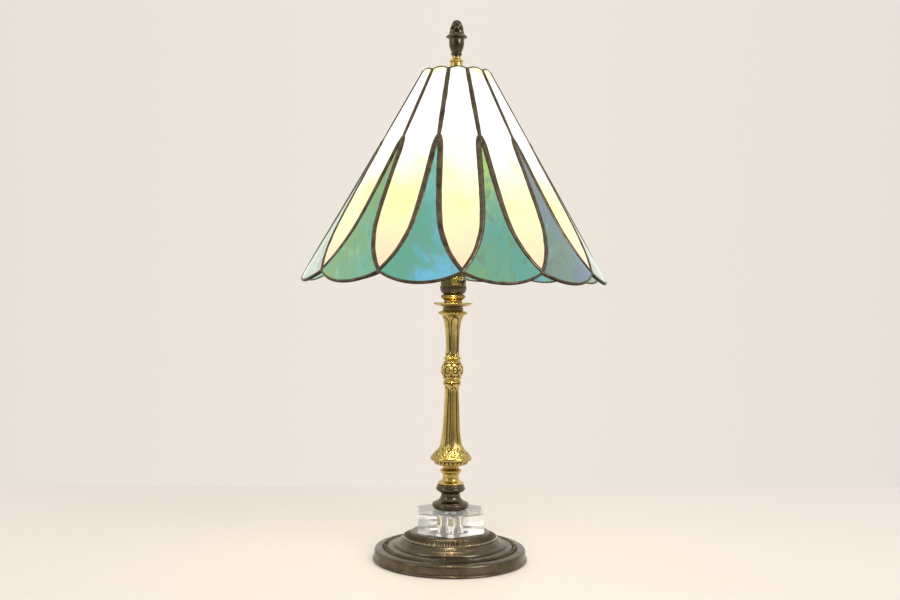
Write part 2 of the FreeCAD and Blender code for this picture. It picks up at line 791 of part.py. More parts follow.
def harp_frame():
    """Wire bow from the ring up to a flat top plate bored for the stud."""
    foot_z = SHELL_TOP - 14.0
    plate = Part.makeCylinder(8.0, 2.2, Vector(0, 0, HARP_PLATE_Z))
    sides = []
    for side in (-1, 1):
        points = [
            Vector(side * HARP_EAR, 0, foot_z),
            Vector(side * HARP_EAR, 0, foot_z + 4),
            Vector(side * HARP_EAR, 0, foot_z + 8),
            Vector(side * 40.0, 0, foot_z + 52),
            Vector(side * HARP_REACH, 0, foot_z + 130),
            Vector(side * 45.0, 0, HARP_PLATE_Z - 48),
            Vector(side * 22.0, 0, HARP_PLATE_Z - 10),
            Vector(side * 6.8, 0, HARP_PLATE_Z + 0.2),
        ]
        sides.append(wire_through(points, HARP_WIRE))
    body = plate.multiFuse(sides)
    return body.cut(Part.makeCylinder(2.6, 12.0, Vector(0, 0, HARP_PLATE_Z - 5.0)))


def harp_stud():
    """Swivel stud: rivet head, shank through the plate, seat flange and threaded post."""
    plate_top = HARP_PLATE_Z + 2.2
    return turned((0.0, HARP_PLATE_Z - 1.4), [
        [(2.9, HARP_PLATE_Z - 1.1), (4.0, HARP_PLATE_Z - 0.05)],
        (2.55, HARP_PLATE_Z - 0.05),
        (2.55, plate_top + 0.05),
        (9.4, plate_top + 0.05),
        (9.4, SEAT_Z),
        (STUD_RADIUS, SEAT_Z),
        (STUD_RADIUS, STUD_TOP - 0.8),
        (STUD_RADIUS - 0.8, STUD_TOP),
        (0.0, STUD_TOP),
    ])


def cap_washer():
    """Felt washer between the harp's seat and the shade's cap."""
    return ring(STUD_RADIUS + 0.3, 9.0, SEAT_Z, SEAT_Z + CAP_PLATE)


# ---- Finial ----

def finial_collar():
    """Brass collar that clamps the shade's cap."""
    return turned((5.1, CROWN_Z), [
        (9.0, CROWN_Z),
        [(8.2, CROWN_Z + 4.6), (7.6, CROWN_Z + 8.2)],
        (8.0, CROWN_Z + 8.8),
        [(8.7, CROWN_Z + 10.2), (7.9, CROWN_Z + 11.4)],
        [(6.0, CROWN_Z + 12.8), (5.5, CROWN_Z + COLLAR_HEIGHT)],
        (5.1, CROWN_Z + COLLAR_HEIGHT),
    ])


def finial_insert():
    """Threaded bush inside the finial, drawn at its clear bore."""
    return ring(STUD_RADIUS + THREAD_CLEARANCE, 5.0, CROWN_Z + 0.6, CROWN_Z + COLLAR_HEIGHT + 4.6)


def finial():
    """Cast acorn over a skirted urn, drilled from below for the threaded bush."""
    bottom = CROWN_Z + COLLAR_HEIGHT
    top = CROWN_Z + FINIAL_HEIGHT
    return turned((5.05, bottom), [
        (5.5, bottom),
        (5.6, bottom + 1.8),
        [(7.2, bottom + 3.4), (6.3, bottom + 5.2)],
        [(7.5, bottom + 8.2), (9.1, bottom + 12.6), (9.6, bottom + 17.4), (9.4, bottom + 22.2)],
        (11.6, bottom + 23.2),
        [(13.4, bottom + 24.6), (12.4, bottom + 26.2)],
        [(10.6, bottom + 28.0), (9.2, bottom + 30.4), (8.4, bottom + 34.0), (7.4, bottom + 38.6)],
        [(5.4, bottom + 42.8), (2.7, top - 1.5), (0.0, top)],
        (0.0, bottom + 5.0),
        (5.05, bottom + 5.0),
    ])


# ---- Cord and plug ----

def coil_point(fraction):
    """Point on the stacked coil behind the foot, from its first turn to its last."""
    angle = math.radians(COIL_START) + 2 * math.pi * COIL_TURNS * fraction
    radius = COIL_RADIUS + 1.1 * math.sin(5 * angle)
    height = CORD_RADIUS + 0.1 + (2 * CORD_RADIUS + 0.5) * COIL_TURNS * fraction
    return Vector(-radius * math.cos(angle), COIL_Y + radius * math.sin(angle), height)


def power_cord():
    """Cord from the lampholder down the stem, out of the foot and into a short stacked coil."""
    bend = 6.5
    steps = 26
    top = Vector(0, 0, SOCKET_Z + 6.4)
    bend_top = Vector(0, 0, CORD_LEVEL + bend)
    bend_end = Vector(0, bend, CORD_LEVEL)
    leave = Vector(0, FOOT_RADIUS + 3.0, CORD_LEVEL)
    points = [leave, Vector(-3.6, FOOT_RADIUS + 17.0, CORD_LEVEL - 2.4)]
    points += [coil_point(step / steps) for step in range(steps + 1)]
    points += [
        Vector(27.0, COIL_Y - 11.0, 15.6),
        Vector(17.5, COIL_Y - 22.0, 11.4),
        Vector(5.4, COIL_Y - 21.0, 8.2),
        Vector(1.3, PLUG_START - 6.0, PLUG_LEVEL + 0.4),
        Vector(0.0, PLUG_START + 3.6, PLUG_LEVEL),
    ]
    disc = Part.Face(Part.Wire(Part.Circle(bend_top, UP, CORD_RADIUS).toShape()))
    elbow = disc.revolve(Vector(0, bend, CORD_LEVEL + bend), Vector(1, 0, 0), 90)
    coil = wire_through(points, CORD_RADIUS)
    straights = [(top, bend_top), (bend_end, leave)]
    return coil.multiFuse([elbow] + [rod(start, end, CORD_RADIUS) for start, end in straights])


def blade(side, start, length):
    """One flat plug blade."""
    corner = Vector(-BLADE_THICKNESS / 2, start, -BLADE_WIDTH / 2)
    shape = Part.makeBox(BLADE_THICKNESS, length, BLADE_WIDTH, corner)
    shape.translate(Vector(side * BLADE_SPACING / 2, 0, PLUG_LEVEL))
    return shape


def plug_body():
    """Moulded two-pin plug with rounded edges, bored for the cord and the blades."""
    corner = Vector(-PLUG_WIDTH / 2, PLUG_START, PLUG_LEVEL - PLUG_HEIGHT / 2)
    body = Part.makeBox(PLUG_WIDTH, PLUG_LENGTH, PLUG_HEIGHT, corner)
    along_y = [edge for edge in body.Edges if edge.BoundBox.YLength > PLUG_LENGTH - 1]
    body = body.makeFillet(5.0, along_y)
    end = PLUG_START + PLUG_LENGTH
    for side in (-1, 1):
        body = body.cut(blade(side, end - 4.0, 5.0))
    bore_start = Vector(0, PLUG_START - 1, PLUG_LEVEL)
    bore_end = Vector(0, PLUG_START + 5.2, PLUG_LEVEL)
    return body.cut(rod(bore_start, bore_end, CORD_RADIUS + 0.7))


def plug_blades():
    """The two blades, each seated in the plug's body."""
    start = PLUG_START + PLUG_LENGTH - 4.0
    return Part.makeCompound([blade(side, start, BLADE_LENGTH + 4.0) for side in (-1, 1)])


# ---- All pieces ----

def pieces():
    """Every node's name and shape."""
    made = {
        "felt_pad": Part.makeCylinder(FOOT_RADIUS - 1.5, FELT),
        "foot": foot(),
        "foot_weight": foot_weight(),
        "base_nut": base_nut(),
        "base_washer": ring(STEM_HOLE, 11.0, 19.0, 20.5),
        "cord_bushing": cord_bushing(),
        "stem_rod": ring(STEM_BORE, STEM_RADIUS, STEM_BOTTOM, STEM_TOP),
        "crystal_block": crystal_block(),
        "crystal_gaskets": crystal_gaskets(),
        "centring_bushes": centring_bushes(),
        "knop": knop(),
        "brass_spool": brass_spool(),
        "column_lower": column_lower(),
        "column_knot": column_knot(),
        "column_upper": column_upper(),
        "pan_seat": pan_seat(),
        "drip_pan": drip_pan(),
        "socket_neck": socket_neck(),
        "socket_cap": socket_cap(),
        "lock_nut": lock_nut(),
        "socket_shell": socket_shell(),
        "shell_liner": shell_liner(),
        "socket_body": socket_body(),
        "terminal_screws": terminal_screws(),
        "socket_screw_shell": socket_screw_shell(),
        "centre_contact": centre_contact(),
        "switch_shaft": switch_shaft(),
        "switch_knob": switch_knob(),
        "bulb_contact": bulb_contact(),
        "bulb_insulator": bulb_insulator(),
        "bulb_base": bulb_base(),
        "bulb_globe": bulb_globe(),
        "bulb_stem": bulb_stem(),
        "bulb_filament": bulb_filament(),
        "petal_panels": petal_panels(),
        "leading": leading(),
        "shade_cap": shade_cap(),
        "cap_washer": cap_washer(),
        "harp_ring": harp_ring(),
        "harp_frame": harp_frame(),
        "harp_stud": harp_stud(),
        "finial_collar": finial_collar(),
        "finial_insert": finial_insert(),
        "finial": finial(),
        "power_cord": power_cord(),
        "plug_body": plug_body(),
        "plug_blades": plug_blades(),
    }
    pane = lower_pane(0.0)
    for index in range(PETALS):
        azimuth = PETAL_AZIMUTH + PITCH * (index + 0.5)
        made["lower_pane_%02d" % (index + 1)] = turned_about(pane, azimuth)
    return made


os.makedirs("parts", exist_ok=True)
for name, shape in pieces().items():
    shape.exportStep("parts/%s.step" % name)
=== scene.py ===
import math

import bpy
import numpy as np
from mathutils import Matrix, Vector, noise


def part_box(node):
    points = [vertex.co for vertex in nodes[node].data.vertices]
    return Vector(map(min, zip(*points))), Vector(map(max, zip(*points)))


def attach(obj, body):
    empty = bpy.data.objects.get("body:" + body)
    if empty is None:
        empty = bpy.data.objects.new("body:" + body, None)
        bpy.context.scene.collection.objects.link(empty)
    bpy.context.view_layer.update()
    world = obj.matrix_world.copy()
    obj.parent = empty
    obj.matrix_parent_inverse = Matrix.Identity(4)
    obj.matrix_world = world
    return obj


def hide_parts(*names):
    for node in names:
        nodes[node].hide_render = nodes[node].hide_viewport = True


# Leaded-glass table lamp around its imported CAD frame. Lengths below are millimetres until make_piece
# turns them into metres. Azimuths count from the front (-Y) towards +X, as in the frame.

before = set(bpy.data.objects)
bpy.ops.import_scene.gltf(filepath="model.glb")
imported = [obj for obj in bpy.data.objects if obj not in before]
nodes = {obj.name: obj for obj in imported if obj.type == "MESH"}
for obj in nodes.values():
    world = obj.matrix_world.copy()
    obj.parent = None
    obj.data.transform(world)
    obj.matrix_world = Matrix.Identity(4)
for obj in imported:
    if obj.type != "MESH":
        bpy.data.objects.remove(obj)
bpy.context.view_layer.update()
METRES = 0.001


def low_z(node):
    """Height of a node's lowest point, in millimetres."""
    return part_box(node)[0].z / METRES


def high_z(node):
    """Height of a node's highest point, in millimetres."""
    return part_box(node)[1].z / METRES


# ---------------------------------------------------------------- mesh building

def make_piece(name, points, faces, body, material, painted_shade=None, sharp=34.0):
    """Object from points in millimetres, smooth shaded except across sharp edges, riding on a body."""
    mesh = bpy.data.meshes.new(name)
    mesh.from_pydata((np.asarray(points) * METRES).tolist(), [], [list(map(int, face)) for face in faces])
    mesh.validate()
    mesh.materials.append(material)
    mesh.shade_smooth()
    mesh.set_sharp_from_angle(angle=math.radians(sharp))
    # Painted shade per point: how far each point is darkened as if in shade, read by the metal materials.
    if painted_shade is not None:
        attribute = mesh.attributes.new("painted_shade", "FLOAT", "POINT")
        attribute.data.foreach_set("value", np.asarray(painted_shade, np.float32))
    piece = bpy.data.objects.new(name, mesh)
    bpy.context.scene.collection.objects.link(piece)
    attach(piece, body)
    return piece


def grid_faces(rows, columns, start=0, wrap_rows=False):
    """Quads of a grid whose columns always wrap, and whose rows may."""
    faces = []
    last = rows if wrap_rows else rows - 1
    for i in range(last):
        a = start + i * columns
        b = start + ((i + 1) % rows) * columns
        for j in range(columns):
            k = (j + 1) % columns
            faces.append((a + j, a + k, b + k, b + j))
    return faces


def smooth_through(points, step=0.6):
    """Points along a Catmull-Rom curve through the given points."""
    points = [np.array(p, float) for p in points]
    padded = [2 * points[0] - points[1]] + points + [2 * points[-1] - points[-2]]
    out = []
    for i in range(1, len(padded) - 2):
        p0, p1, p2, p3 = padded[i - 1:i + 3]
        count = max(2, int(np.linalg.norm(p2 - p1) / step))
        for n in range(count):
            t = n / count
            out.append(0.5 * (2 * p1 + (p2 - p0) * t + (2 * p0 - 5 * p1 + 4 * p2 - p3) * t ** 2
                              + (3 * p1 - p0 - 3 * p2 + p3) * t ** 3))
    out.append(points[-1])
    return out


def outline(*runs, step=0.6):
    """Section points from runs: a tuple is a corner, a list is a smooth curve from the last point."""
    out = [np.array(runs[0], float)]
    for run in runs[1:]:
        if isinstance(run, tuple):
            count = max(1, int(np.linalg.norm(np.array(run) - out[-1]) / step))
            start = out[-1]
            out += [start + (np.array(run) - start) * (n + 1) / count for n in range(count)]
        else:
            out += smooth_through([tuple(out[-1])] + run, step)[1:]
    return np.array(out)


def ring(radius, angles, height):
    """Points round the Z axis at the given radii and heights."""
    return np.stack([radius * np.sin(angles), -radius * np.cos(angles), height + 0 * angles], 1)


def lathe_shape(section, segments=96, relief=None, z=0.0):
    """Turned shape from a closed section of (radius, height) points, with relief worked into it and the
    relief's painted shade kept per point.
    """
    angles = np.linspace(0, 2 * math.pi, segments, endpoint=False)
    points, painted_shade = [], []
    for radius, height in section:
        rise, dark = relief(angles, height, radius) if relief else (0.0, 0.0)
        points.append(ring(np.maximum(radius + rise + 0 * angles, 0.0), angles, z + height))
        painted_shade.append(dark + 0 * angles)
    return np.concatenate(points), grid_faces(len(section), segments, wrap_rows=True), np.concatenate(painted_shade)


def lathe(name, section, body, material, z=0.0, segments=96, relief=None, sharp=34.0):
    """Turned piece that rides on a body."""
    points, faces, painted_shade = lathe_shape(section, segments, relief, z)
    return make_piece(name, points, faces, body, material, painted_shade, sharp)


def bored(section, bore):
    """Closes an outer section with the bore it is threaded on the stem with."""
    top, bottom = section[-1][1], section[0][1]
    return np.vstack([section, [(bore, top), (bore, bottom)]])


def turned(name, node, section, material, segments=128, relief=None, sharp=34.0, body="stand"):
    """Turned piece that stands where a CAD node stands and takes its place."""
    piece = lathe(name, section, body, material, low_z(node), segments, relief, sharp)
    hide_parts(node)


def solder_line(path, normals, half_width, half_height, seed):
    """Rounded line along a path, a little uneven. Returns points, faces and how much painted shade each point
    gets: dark at its sides, light along its crest.
    """
    sides, unevenness, waviness = 14, 0.07, 0.11
    tangent = np.gradient(path, axis=0)
    tangent /= np.linalg.norm(tangent, axis=1)[:, None]
    across = np.cross(tangent, normals)
    across /= np.linalg.norm(across, axis=1)[:, None]
    out = np.cross(across, tangent)
    angles = np.linspace(0, 2 * math.pi, sides, endpoint=False)
    half_width = np.broadcast_to(half_width, len(path))
    half_height = np.broadcast_to(half_height, len(path))
    points = []
    for i, centre in enumerate(path):
        swelling = 1 + unevenness * noise.noise(Vector((i * waviness, seed, 0.0)))
        sideways = np.outer(np.cos(angles) * half_width[i] * swelling, across[i])
        outward = np.outer(np.sin(angles) * half_height[i] * swelling, out[i])
        points.append(centre + sideways + outward)
    faces = [face[::-1] for face in grid_faces(len(path), sides)]
    faces.append(tuple(range(sides)))
    end = (len(path) - 1) * sides
    faces.append(tuple(reversed(range(end, end + sides))))
    # Painted shade on the line's sides, leaving a painted highlight along its crest.
    painted_darkness = 0.95 * (1 - np.abs(np.sin(angles))) ** 1.6
    return np.concatenate(points), faces, np.tile(painted_darkness, len(path))


class Batch:
    """Collects several closed shapes that make one piece."""

    def __init__(self):
        self.points, self.faces, self.values, self.count = [], [], [], 0

    def add(self, points, faces, values):
        self.points.append(points)
        self.faces += [tuple(v + self.count for v in face) for face in faces]
        self.values.append(values)
        self.count += len(points)

    def piece(self, name, body, material, sharp=50.0):
        return make_piece(name, np.concatenate(self.points), self.faces, body, material,
                          np.concatenate(self.values), sharp)


def dome_ball(centre, radii, axes, rings, sides):
    """Closed ellipsoid, used for beads and solder drops. Returns points, faces and a light painted-shade
    value.
    """
    points = []
    for i in range(rings + 1):
        polar = math.pi * (i + 0.02) / (rings + 0.04)
        for j in range(sides):
            turn = 2 * math.pi * j / sides
            around = math.sin(polar)
            local = np.array([around * math.cos(turn), around * math.sin(turn), math.cos(polar)])
            points.append(np.asarray(centre) + (local * np.asarray(radii)) @ np.asarray(axes))
    faces = grid_faces(rings + 1, sides)
    faces.append(tuple(reversed(range(sides))))
    end = rings * sides
    faces.append(tuple(range(end, end + sides)))
    return np.array(points), faces, np.full(len(points), 0.12)


# ---------------------------------------------------------------- materials

def linear(red, green, blue):
    """Scene-linear colour from 0-255 display values."""
    def channel(value):
        value /= 255
        return value / 12.92 if value <= 0.04045 else ((value + 0.055) / 1.055) ** 2.4
    return (channel(red), channel(green), channel(blue), 1.0)


class Nodes:
    """A node tree, with a short call for each kind of node used below."""

    def __init__(self, tree):
        self.tree = tree

    def feed(self, socket, value):
        """Sets a socket to a constant, or links another node's output to it."""
        if isinstance(value, bpy.types.NodeSocket):
            self.tree.links.new(value, socket)
        else:
            socket.default_value = value

    def node(self, kind, settings=(), inputs=()):
        made = self.tree.nodes.new("ShaderNode" + kind)
        for key, value in dict(settings).items():
            setattr(made, key, value)
        for key, value in dict(inputs).items():
            self.feed(made.inputs[key], value)
        return made

    def math(self, operation, a, b=0.0):
        return self.node("Math", {"operation": operation}, {0: a, 1: b}).outputs[0]

    def centred(self, value, amount):
        """A noise value moved to swing about zero, by half the given amount each way."""
        return self.math("MULTIPLY", self.math("SUBTRACT", value, 0.5), amount)

    def span(self, value, low, high, to_low=0.0, to_high=1.0):
        """Maps a range of values to another and stops at its ends."""
        made = self.node("MapRange", inputs={"Value": value, "From Min": low, "From Max": high,
                                             "To Min": to_low, "To Max": to_high})
        return made.outputs["Result"]

    def mix(self, factor, a, b, blend="MIX"):
        made = self.node("Mix", {"data_type": "RGBA", "blend_type": blend}, {"Factor": factor, 6: a, 7: b})
        return made.outputs[2]

    def ramp(self, factor, stops):
        made = self.node("ValToRGB", inputs={"Fac": factor})
        elements = made.color_ramp.elements
        while len(elements) < len(stops):
            elements.new(0.5)
        for element, (place, colour) in zip(elements, stops):
            element.position = place
            element.color = colour
        return made.outputs["Color"]

    def axis(self, vector, name):
        return self.node("SeparateXYZ", inputs={"Vector": vector}).outputs[name]


class Shader(Nodes):
    """One material: its node tree and its surface."""

    def __init__(self, name):
        self.material = bpy.data.materials.new(name)
        self.material.use_nodes = True
        super().__init__(self.material.node_tree)
        self.surface = self.tree.nodes["Principled BSDF"]

    def set(self, **inputs):
        """Surface inputs, with underscores for the spaces in their names."""
        for key, value in inputs.items():
            self.feed(self.surface.inputs[key.replace("_", " ")], value)

    def position(self, turn=0.0, scale=(1.0, 1.0, 1.0)):
        """The piece's own coordinates in metres, turned about Z and stretched."""
        coordinates = self.node("TexCoord").outputs["Object"]
        mapped = self.node("Mapping", inputs={"Vector": coordinates, "Rotation": (0, 0, math.radians(turn)),
                                              "Scale": scale})
        return mapped.outputs["Vector"]

    def noise(self, scale, detail=4.0, vector=None, distortion=0.0):
        made = self.node("TexNoise", inputs={"Scale": scale, "Detail": detail, "Distortion": distortion,
                                             "Roughness": 0.55, "Vector": vector or self.position()})
        return made.outputs["Fac"]

    # The per-point painted shade stored on the piece.
    def painted_shade(self):
        return self.node("Attribute", {"attribute_name": "painted_shade"}).outputs["Fac"]

    def darker(self, colour, share):
        """A colour times a plain one."""
        return self.mix(1.0, colour, (*share, 1), "MULTIPLY")

    def bump(self, height, strength, distance):
        made = self.node("Bump", inputs={"Height": height, "Strength": strength, "Distance": distance})
        self.set(Normal=made.outputs["Normal"])


def metal(name, bright, deep, shadow, roughness=(0.17, 0.33), grain=1400.0, wear=45.0):
    """Aged metal: polished tone, tarnish in clouds and specks, and painted shade where the relief is hollow.
    """
    shade = Shader(name)
    clouds = shade.noise(wear, 6.0, distortion=0.6)
    specks = shade.noise(grain * 0.35, 3.0)
    tarnish = shade.span(shade.math("ADD", clouds, shade.math("MULTIPLY", specks, 0.06)), 0.40, 0.72)
    colour = shade.mix(tarnish, bright, deep)
    # Painted shade: the stored per-point shade, broken up a little by the specks, darkens the metal towards
    # its shadow colour and roughens it.
    painted_darkness = shade.span(shade.math("ADD", shade.painted_shade(), shade.math("MULTIPLY", specks, 0.05)), 0.14, 0.72)
    shade.set(Base_Color=shade.mix(painted_darkness, colour, shadow), Metallic=1.0)
    worn = shade.span(tarnish, 0.0, 1.0, roughness[0], roughness[1])
    shade.set(Roughness=shade.math("ADD", worn, shade.math("MULTIPLY", painted_darkness, 0.25)))
    shade.bump(shade.noise(grain, 5.0), 0.06, 0.0003)
    return shade.material


def plain(name, dark, light, roughness, scale, bump_size=0.0003, strength=0.4, metallic=0.0, **more):
    """Simple surface whose tone, gloss and grain vary."""
    shade = Shader(name)
    clouds = shade.noise(scale, 5.0)
    shade.set(Base_Color=shade.mix(shade.span(clouds, 0.3, 0.7), dark, light), Metallic=metallic, **more)
    shade.set(Roughness=shade.span(clouds, 0.3, 0.7, roughness - 0.08, roughness + 0.08))
    shade.bump(shade.noise(scale * 6, 3.0), strength, bump_size)
    return shade.material


def opal_glass():
    """Lit cream opalescent glass: white beside the bulb, yellow below it, peach at the tips."""
    shade = Shader("lit_opal_glass")
    height = shade.axis(shade.position(), "Z")
    drift = shade.centred(shade.noise(14.0, 3.0, distortion=0.6), 0.075)
    level = shade.span(shade.math("ADD", height, drift), 0.368, 0.622)
    glow = shade.ramp(level, [
        (0.00, linear(250, 224, 192)),
        (0.10, linear(253, 232, 192)),
        (0.23, linear(255, 242, 194)),
        (0.32, linear(255, 248, 188)),
        (0.41, linear(255, 253, 204)),
        (0.53, linear(255, 255, 234)),
        (0.68, linear(255, 255, 252)),
        (0.93, linear(255, 255, 248)),
        (1.00, linear(255, 246, 184)),
    ])
    warmth = shade.noise(1.0, 4.0, shade.position(scale=(17.0, 17.0, 7.0)), distortion=1.2)
    band = shade.math("MULTIPLY", shade.span(level, 0.14, 0.34), shade.span(level, 0.80, 0.48))
    amber = shade.math("MULTIPLY", shade.span(warmth, 0.46, 0.68, 0.0, 0.85), band)
    glow = shade.mix(amber, glow, linear(255, 240, 160))
    wisps = shade.noise(1.0, 5.0, shade.position(scale=(26.0, 26.0, 5.5)), distortion=1.6)
    veiled = shade.mix(1.0, glow, linear(250, 238, 214), "MULTIPLY")
    glow = shade.mix(shade.span(wisps, 0.40, 0.75, 0.0, 0.20), glow, veiled)
    shade.set(Base_Color=shade.darker(glow, (0.26, 0.25, 0.23)), Roughness=0.12,
              Emission_Color=glow, Emission_Strength=shade.span(level, 0.10, 0.60, 0.84, 1.04))
    shade.bump(shade.noise(140.0, 3.0), 0.10, 0.0006)
    return shade.material


def art_glass(name, azimuth, sheet, seed):
    """Lit streaky glass: one colour runs into another across the pane, with drifts, wisps and pale cloud."""
    left, right, upper, drift, wisp, lean = sheet
    shade = Shader(name)
    place = shade.position(turn=-azimuth)
    across = shade.axis(place, "X")
    height = shade.axis(place, "Z")
    start = {0: place, 1: (seed, 0.0, seed * 0.7)}
    shifted = shade.node("VectorMath", {"operation": "ADD"}, start).outputs[0]
    turned_place = shade.node("VectorRotate", {"rotation_type": "AXIS_ANGLE"},
                              {"Vector": shifted, "Axis": (0, 1, 0), "Angle": math.radians(lean)}).outputs[0]
    drawn = shade.node("Mapping", inputs={"Vector": turned_place, "Scale": (30.0, 18.0, 9.0)}).outputs[0]
    broad = shade.noise(0.8, 2.0, drawn, distortion=1.1)
    mixed = shade.math("ADD", shade.math("MULTIPLY", across, 20.0), shade.centred(broad, 2.6))
    colour = shade.mix(shade.span(mixed, -0.42, 0.30), left, right)
    risen = shade.math("ADD", height, shade.centred(broad, 0.13))
    colour = shade.mix(shade.span(risen, 0.430, 0.486, 0.0, 0.95), colour, upper)
    patches = shade.noise(19.0, 2.0, shifted, distortion=1.3)
    colour = shade.mix(shade.span(patches, 0.50, 0.66, 0.0, 0.55), colour, drift)
    streaks = shade.noise(1.5, 3.0, drawn, distortion=2.6)
    colour = shade.mix(shade.span(streaks, 0.55, 0.64, 0.0, 0.60), colour, wisp)
    cloud = shade.noise(1.1, 3.0, drawn, distortion=1.9)
    colour = shade.mix(shade.span(cloud, 0.58, 0.72, 0.0, 0.35), colour, linear(160, 214, 204))
    shade.set(Base_Color=shade.darker(colour, (0.32, 0.32, 0.32)), Roughness=0.10,
              Emission_Color=colour, Emission_Strength=0.80)
    shade.bump(shade.noise(2.4, 4.0, drawn), 0.25, 0.0012)
    return shade.material


def crystal_glass():
    """Clear lead crystal, with the faint unevenness of old ground and polished faces, and a faint painted
    glow that lightens it.
    """
    shade = Shader("clear_crystal")
    tint = shade.mix(shade.noise(30.0), (1, 1, 1, 1), (0.965, 0.985, 0.975, 1))
    # Painted light: a faint glow that lightens the crystal.
    shade.set(Base_Color=tint, Roughness=0.015, IOR=1.50, Transmission_Weight=0.90,
              Emission_Color=linear(250, 244, 236),
              Emission_Strength=shade.span(shade.noise(55.0, 3.0), 0.35, 0.65, 0.02, 0.06))
    shade.bump(shade.noise(70.0, 2.0), 0.02, 0.0004)
    return shade.material


def bulb_glass():
    """Frosted globe of the lit bulb."""
    shade = Shader("frosted_bulb")
    height = shade.axis(shade.position(), "Z")
    stops = [(0.0, linear(255, 214, 150)), (0.7, linear(255, 248, 226))]
    warm = shade.ramp(shade.span(height, 0.395, 0.478), stops)
    shade.set(Base_Color=(0.9, 0.88, 0.82, 1), Roughness=0.35, Emission_Color=warm,
              Emission_Strength=shade.span(shade.noise(60.0), 0.3, 0.7, 2.2, 2.8))
    return shade.material


def clear_vinyl():
    """Soft clear plastic of the two rings against the crystal."""
    shade = Shader("clear_vinyl")
    tone = shade.mix(shade.noise(120.0), (0.93, 0.93, 0.89, 1), (0.98, 0.98, 0.95, 1))
    shade.set(Base_Color=tone, Roughness=0.18, IOR=1.45, Transmission_Weight=0.85)
    return shade.material


def felt_cloth():
    """Matted fibres."""
    shade = Shader("brown_felt")
    fibres = shade.noise(900.0, 6.0, distortion=3.0)
    tone = shade.mix(fibres, (0.035, 0.022, 0.014, 1), (0.12, 0.08, 0.055, 1))
    shade.set(Base_Color=tone, Roughness=0.95, Sheen_Weight=0.4)
    shade.bump(fibres, 0.8, 0.0008)
    return shade.material


BRASS = metal("aged_brass", (0.68, 0.53, 0.19, 1), (0.42, 0.305, 0.095, 1), (0.045, 0.026, 0.007, 1))
OLIVE_BRASS = metal("olive_brass", (0.62, 0.485, 0.185, 1), (0.38, 0.29, 0.105, 1), (0.055, 0.03, 0.008, 1))
NECK_BRASS = metal("orange_brass", (0.40, 0.29, 0.11, 1), (0.22, 0.155, 0.055, 1), (0.03, 0.02, 0.008, 1))
# Lighter bronze for the foot's beads, standing for their highlights: a painted highlight.
HIGHLIGHT_BRONZE = metal("highlight_bronze", (0.52, 0.47, 0.38, 1), (0.34, 0.30, 0.24, 1), (0.03, 0.024, 0.016, 1))
BRONZE = metal("dark_bronze", (0.135, 0.112, 0.082, 1), (0.078, 0.063, 0.043, 1), (0.014, 0.010, 0.006, 1),
               roughness=(0.20, 0.32))
CAME = metal("patinated_solder", (0.15, 0.123, 0.08, 1), (0.06, 0.049, 0.032, 1), (0.012, 0.01, 0.006, 1),
             roughness=(0.28, 0.44), grain=900.0, wear=90.0)
# Darker brass: the lampholder shell's own browned tone, and painted shade on the collar under the drip pan.
DARK_BRASS = metal("browned_and_shaded_brass", (0.26, 0.205, 0.10, 1), (0.14, 0.11, 0.055, 1), (0.02, 0.014, 0.006, 1))
STEEL = metal("zinc_plate", (0.34, 0.33, 0.30, 1), (0.22, 0.215, 0.195, 1), (0.05, 0.05, 0.045, 1))
BRIGHT_METAL = metal("bright_shell", (0.80, 0.80, 0.79, 1), (0.60, 0.60, 0.60, 1), (0.1, 0.1, 0.1, 1))
IRON = plain("cast_iron", (0.03, 0.03, 0.03, 1), (0.09, 0.085, 0.08, 1), 0.75, 160.0, bump_size=0.001,
             strength=0.7, metallic=0.6)
RUBBER = plain("black_rubber", (0.012, 0.012, 0.012, 1), (0.03, 0.03, 0.03, 1), 0.6, 220.0)
PHENOLIC = plain("black_moulding", (0.010, 0.009, 0.008, 1), (0.028, 0.024, 0.02, 1), 0.28, 300.0)
PAPER = plain("fibre_paper", (0.42, 0.33, 0.20, 1), (0.60, 0.50, 0.34, 1), 0.85, 500.0)
TUNGSTEN = plain("tungsten", (0.30, 0.28, 0.25, 1), (0.48, 0.46, 0.43, 1), 0.4, 800.0, metallic=1.0)
CORD = plain("gold_vinyl_cord", (0.42, 0.27, 0.08, 1), (0.58, 0.41, 0.16, 1), 0.30, 90.0, Coat_Weight=0.4)
PLUG = plain("brown_moulding", (0.05, 0.025, 0.012, 1), (0.10, 0.055, 0.03, 1), 0.35, 260.0)
FELT = felt_cloth()
VINYL = clear_vinyl()
OPAL = opal_glass()
CRYSTAL = crystal_glass()
BULB = bulb_glass()

CAD_FINISH = {
    "felt_pad": FELT, "foot_weight": IRON, "base_nut": STEEL, "base_washer": STEEL, "cord_bushing": RUBBER,
    "stem_rod": STEEL, "crystal_block": CRYSTAL, "crystal_gaskets": VINYL, "centring_bushes": BRONZE,
    "lock_nut": STEEL, "shell_liner": PAPER, "socket_body": PHENOLIC, "terminal_screws": BRASS,
    "socket_screw_shell": BRIGHT_METAL, "centre_contact": BRASS, "switch_shaft": BRASS,
    "bulb_contact": BRIGHT_METAL, "bulb_insulator": PHENOLIC, "bulb_base": BRIGHT_METAL, "bulb_globe": BULB,
    "bulb_stem": BULB, "bulb_filament": TUNGSTEN, "petal_panels": OPAL, "shade_cap": BRASS,
    "cap_washer": FELT, "harp_ring": BRASS, "harp_frame": BRASS, "harp_stud": BRASS, "finial_insert": BRASS,
    "power_cord": CORD, "plug_body": PLUG, "plug_blades": BRASS,
}


def paint(node, material):
    """Puts one material in all the slots of a carried-over CAD node."""
    piece = nodes[node]
    if not piece.material_slots:
        piece.data.materials.append(material)
    for slot in piece.material_slots:
        slot.material = material


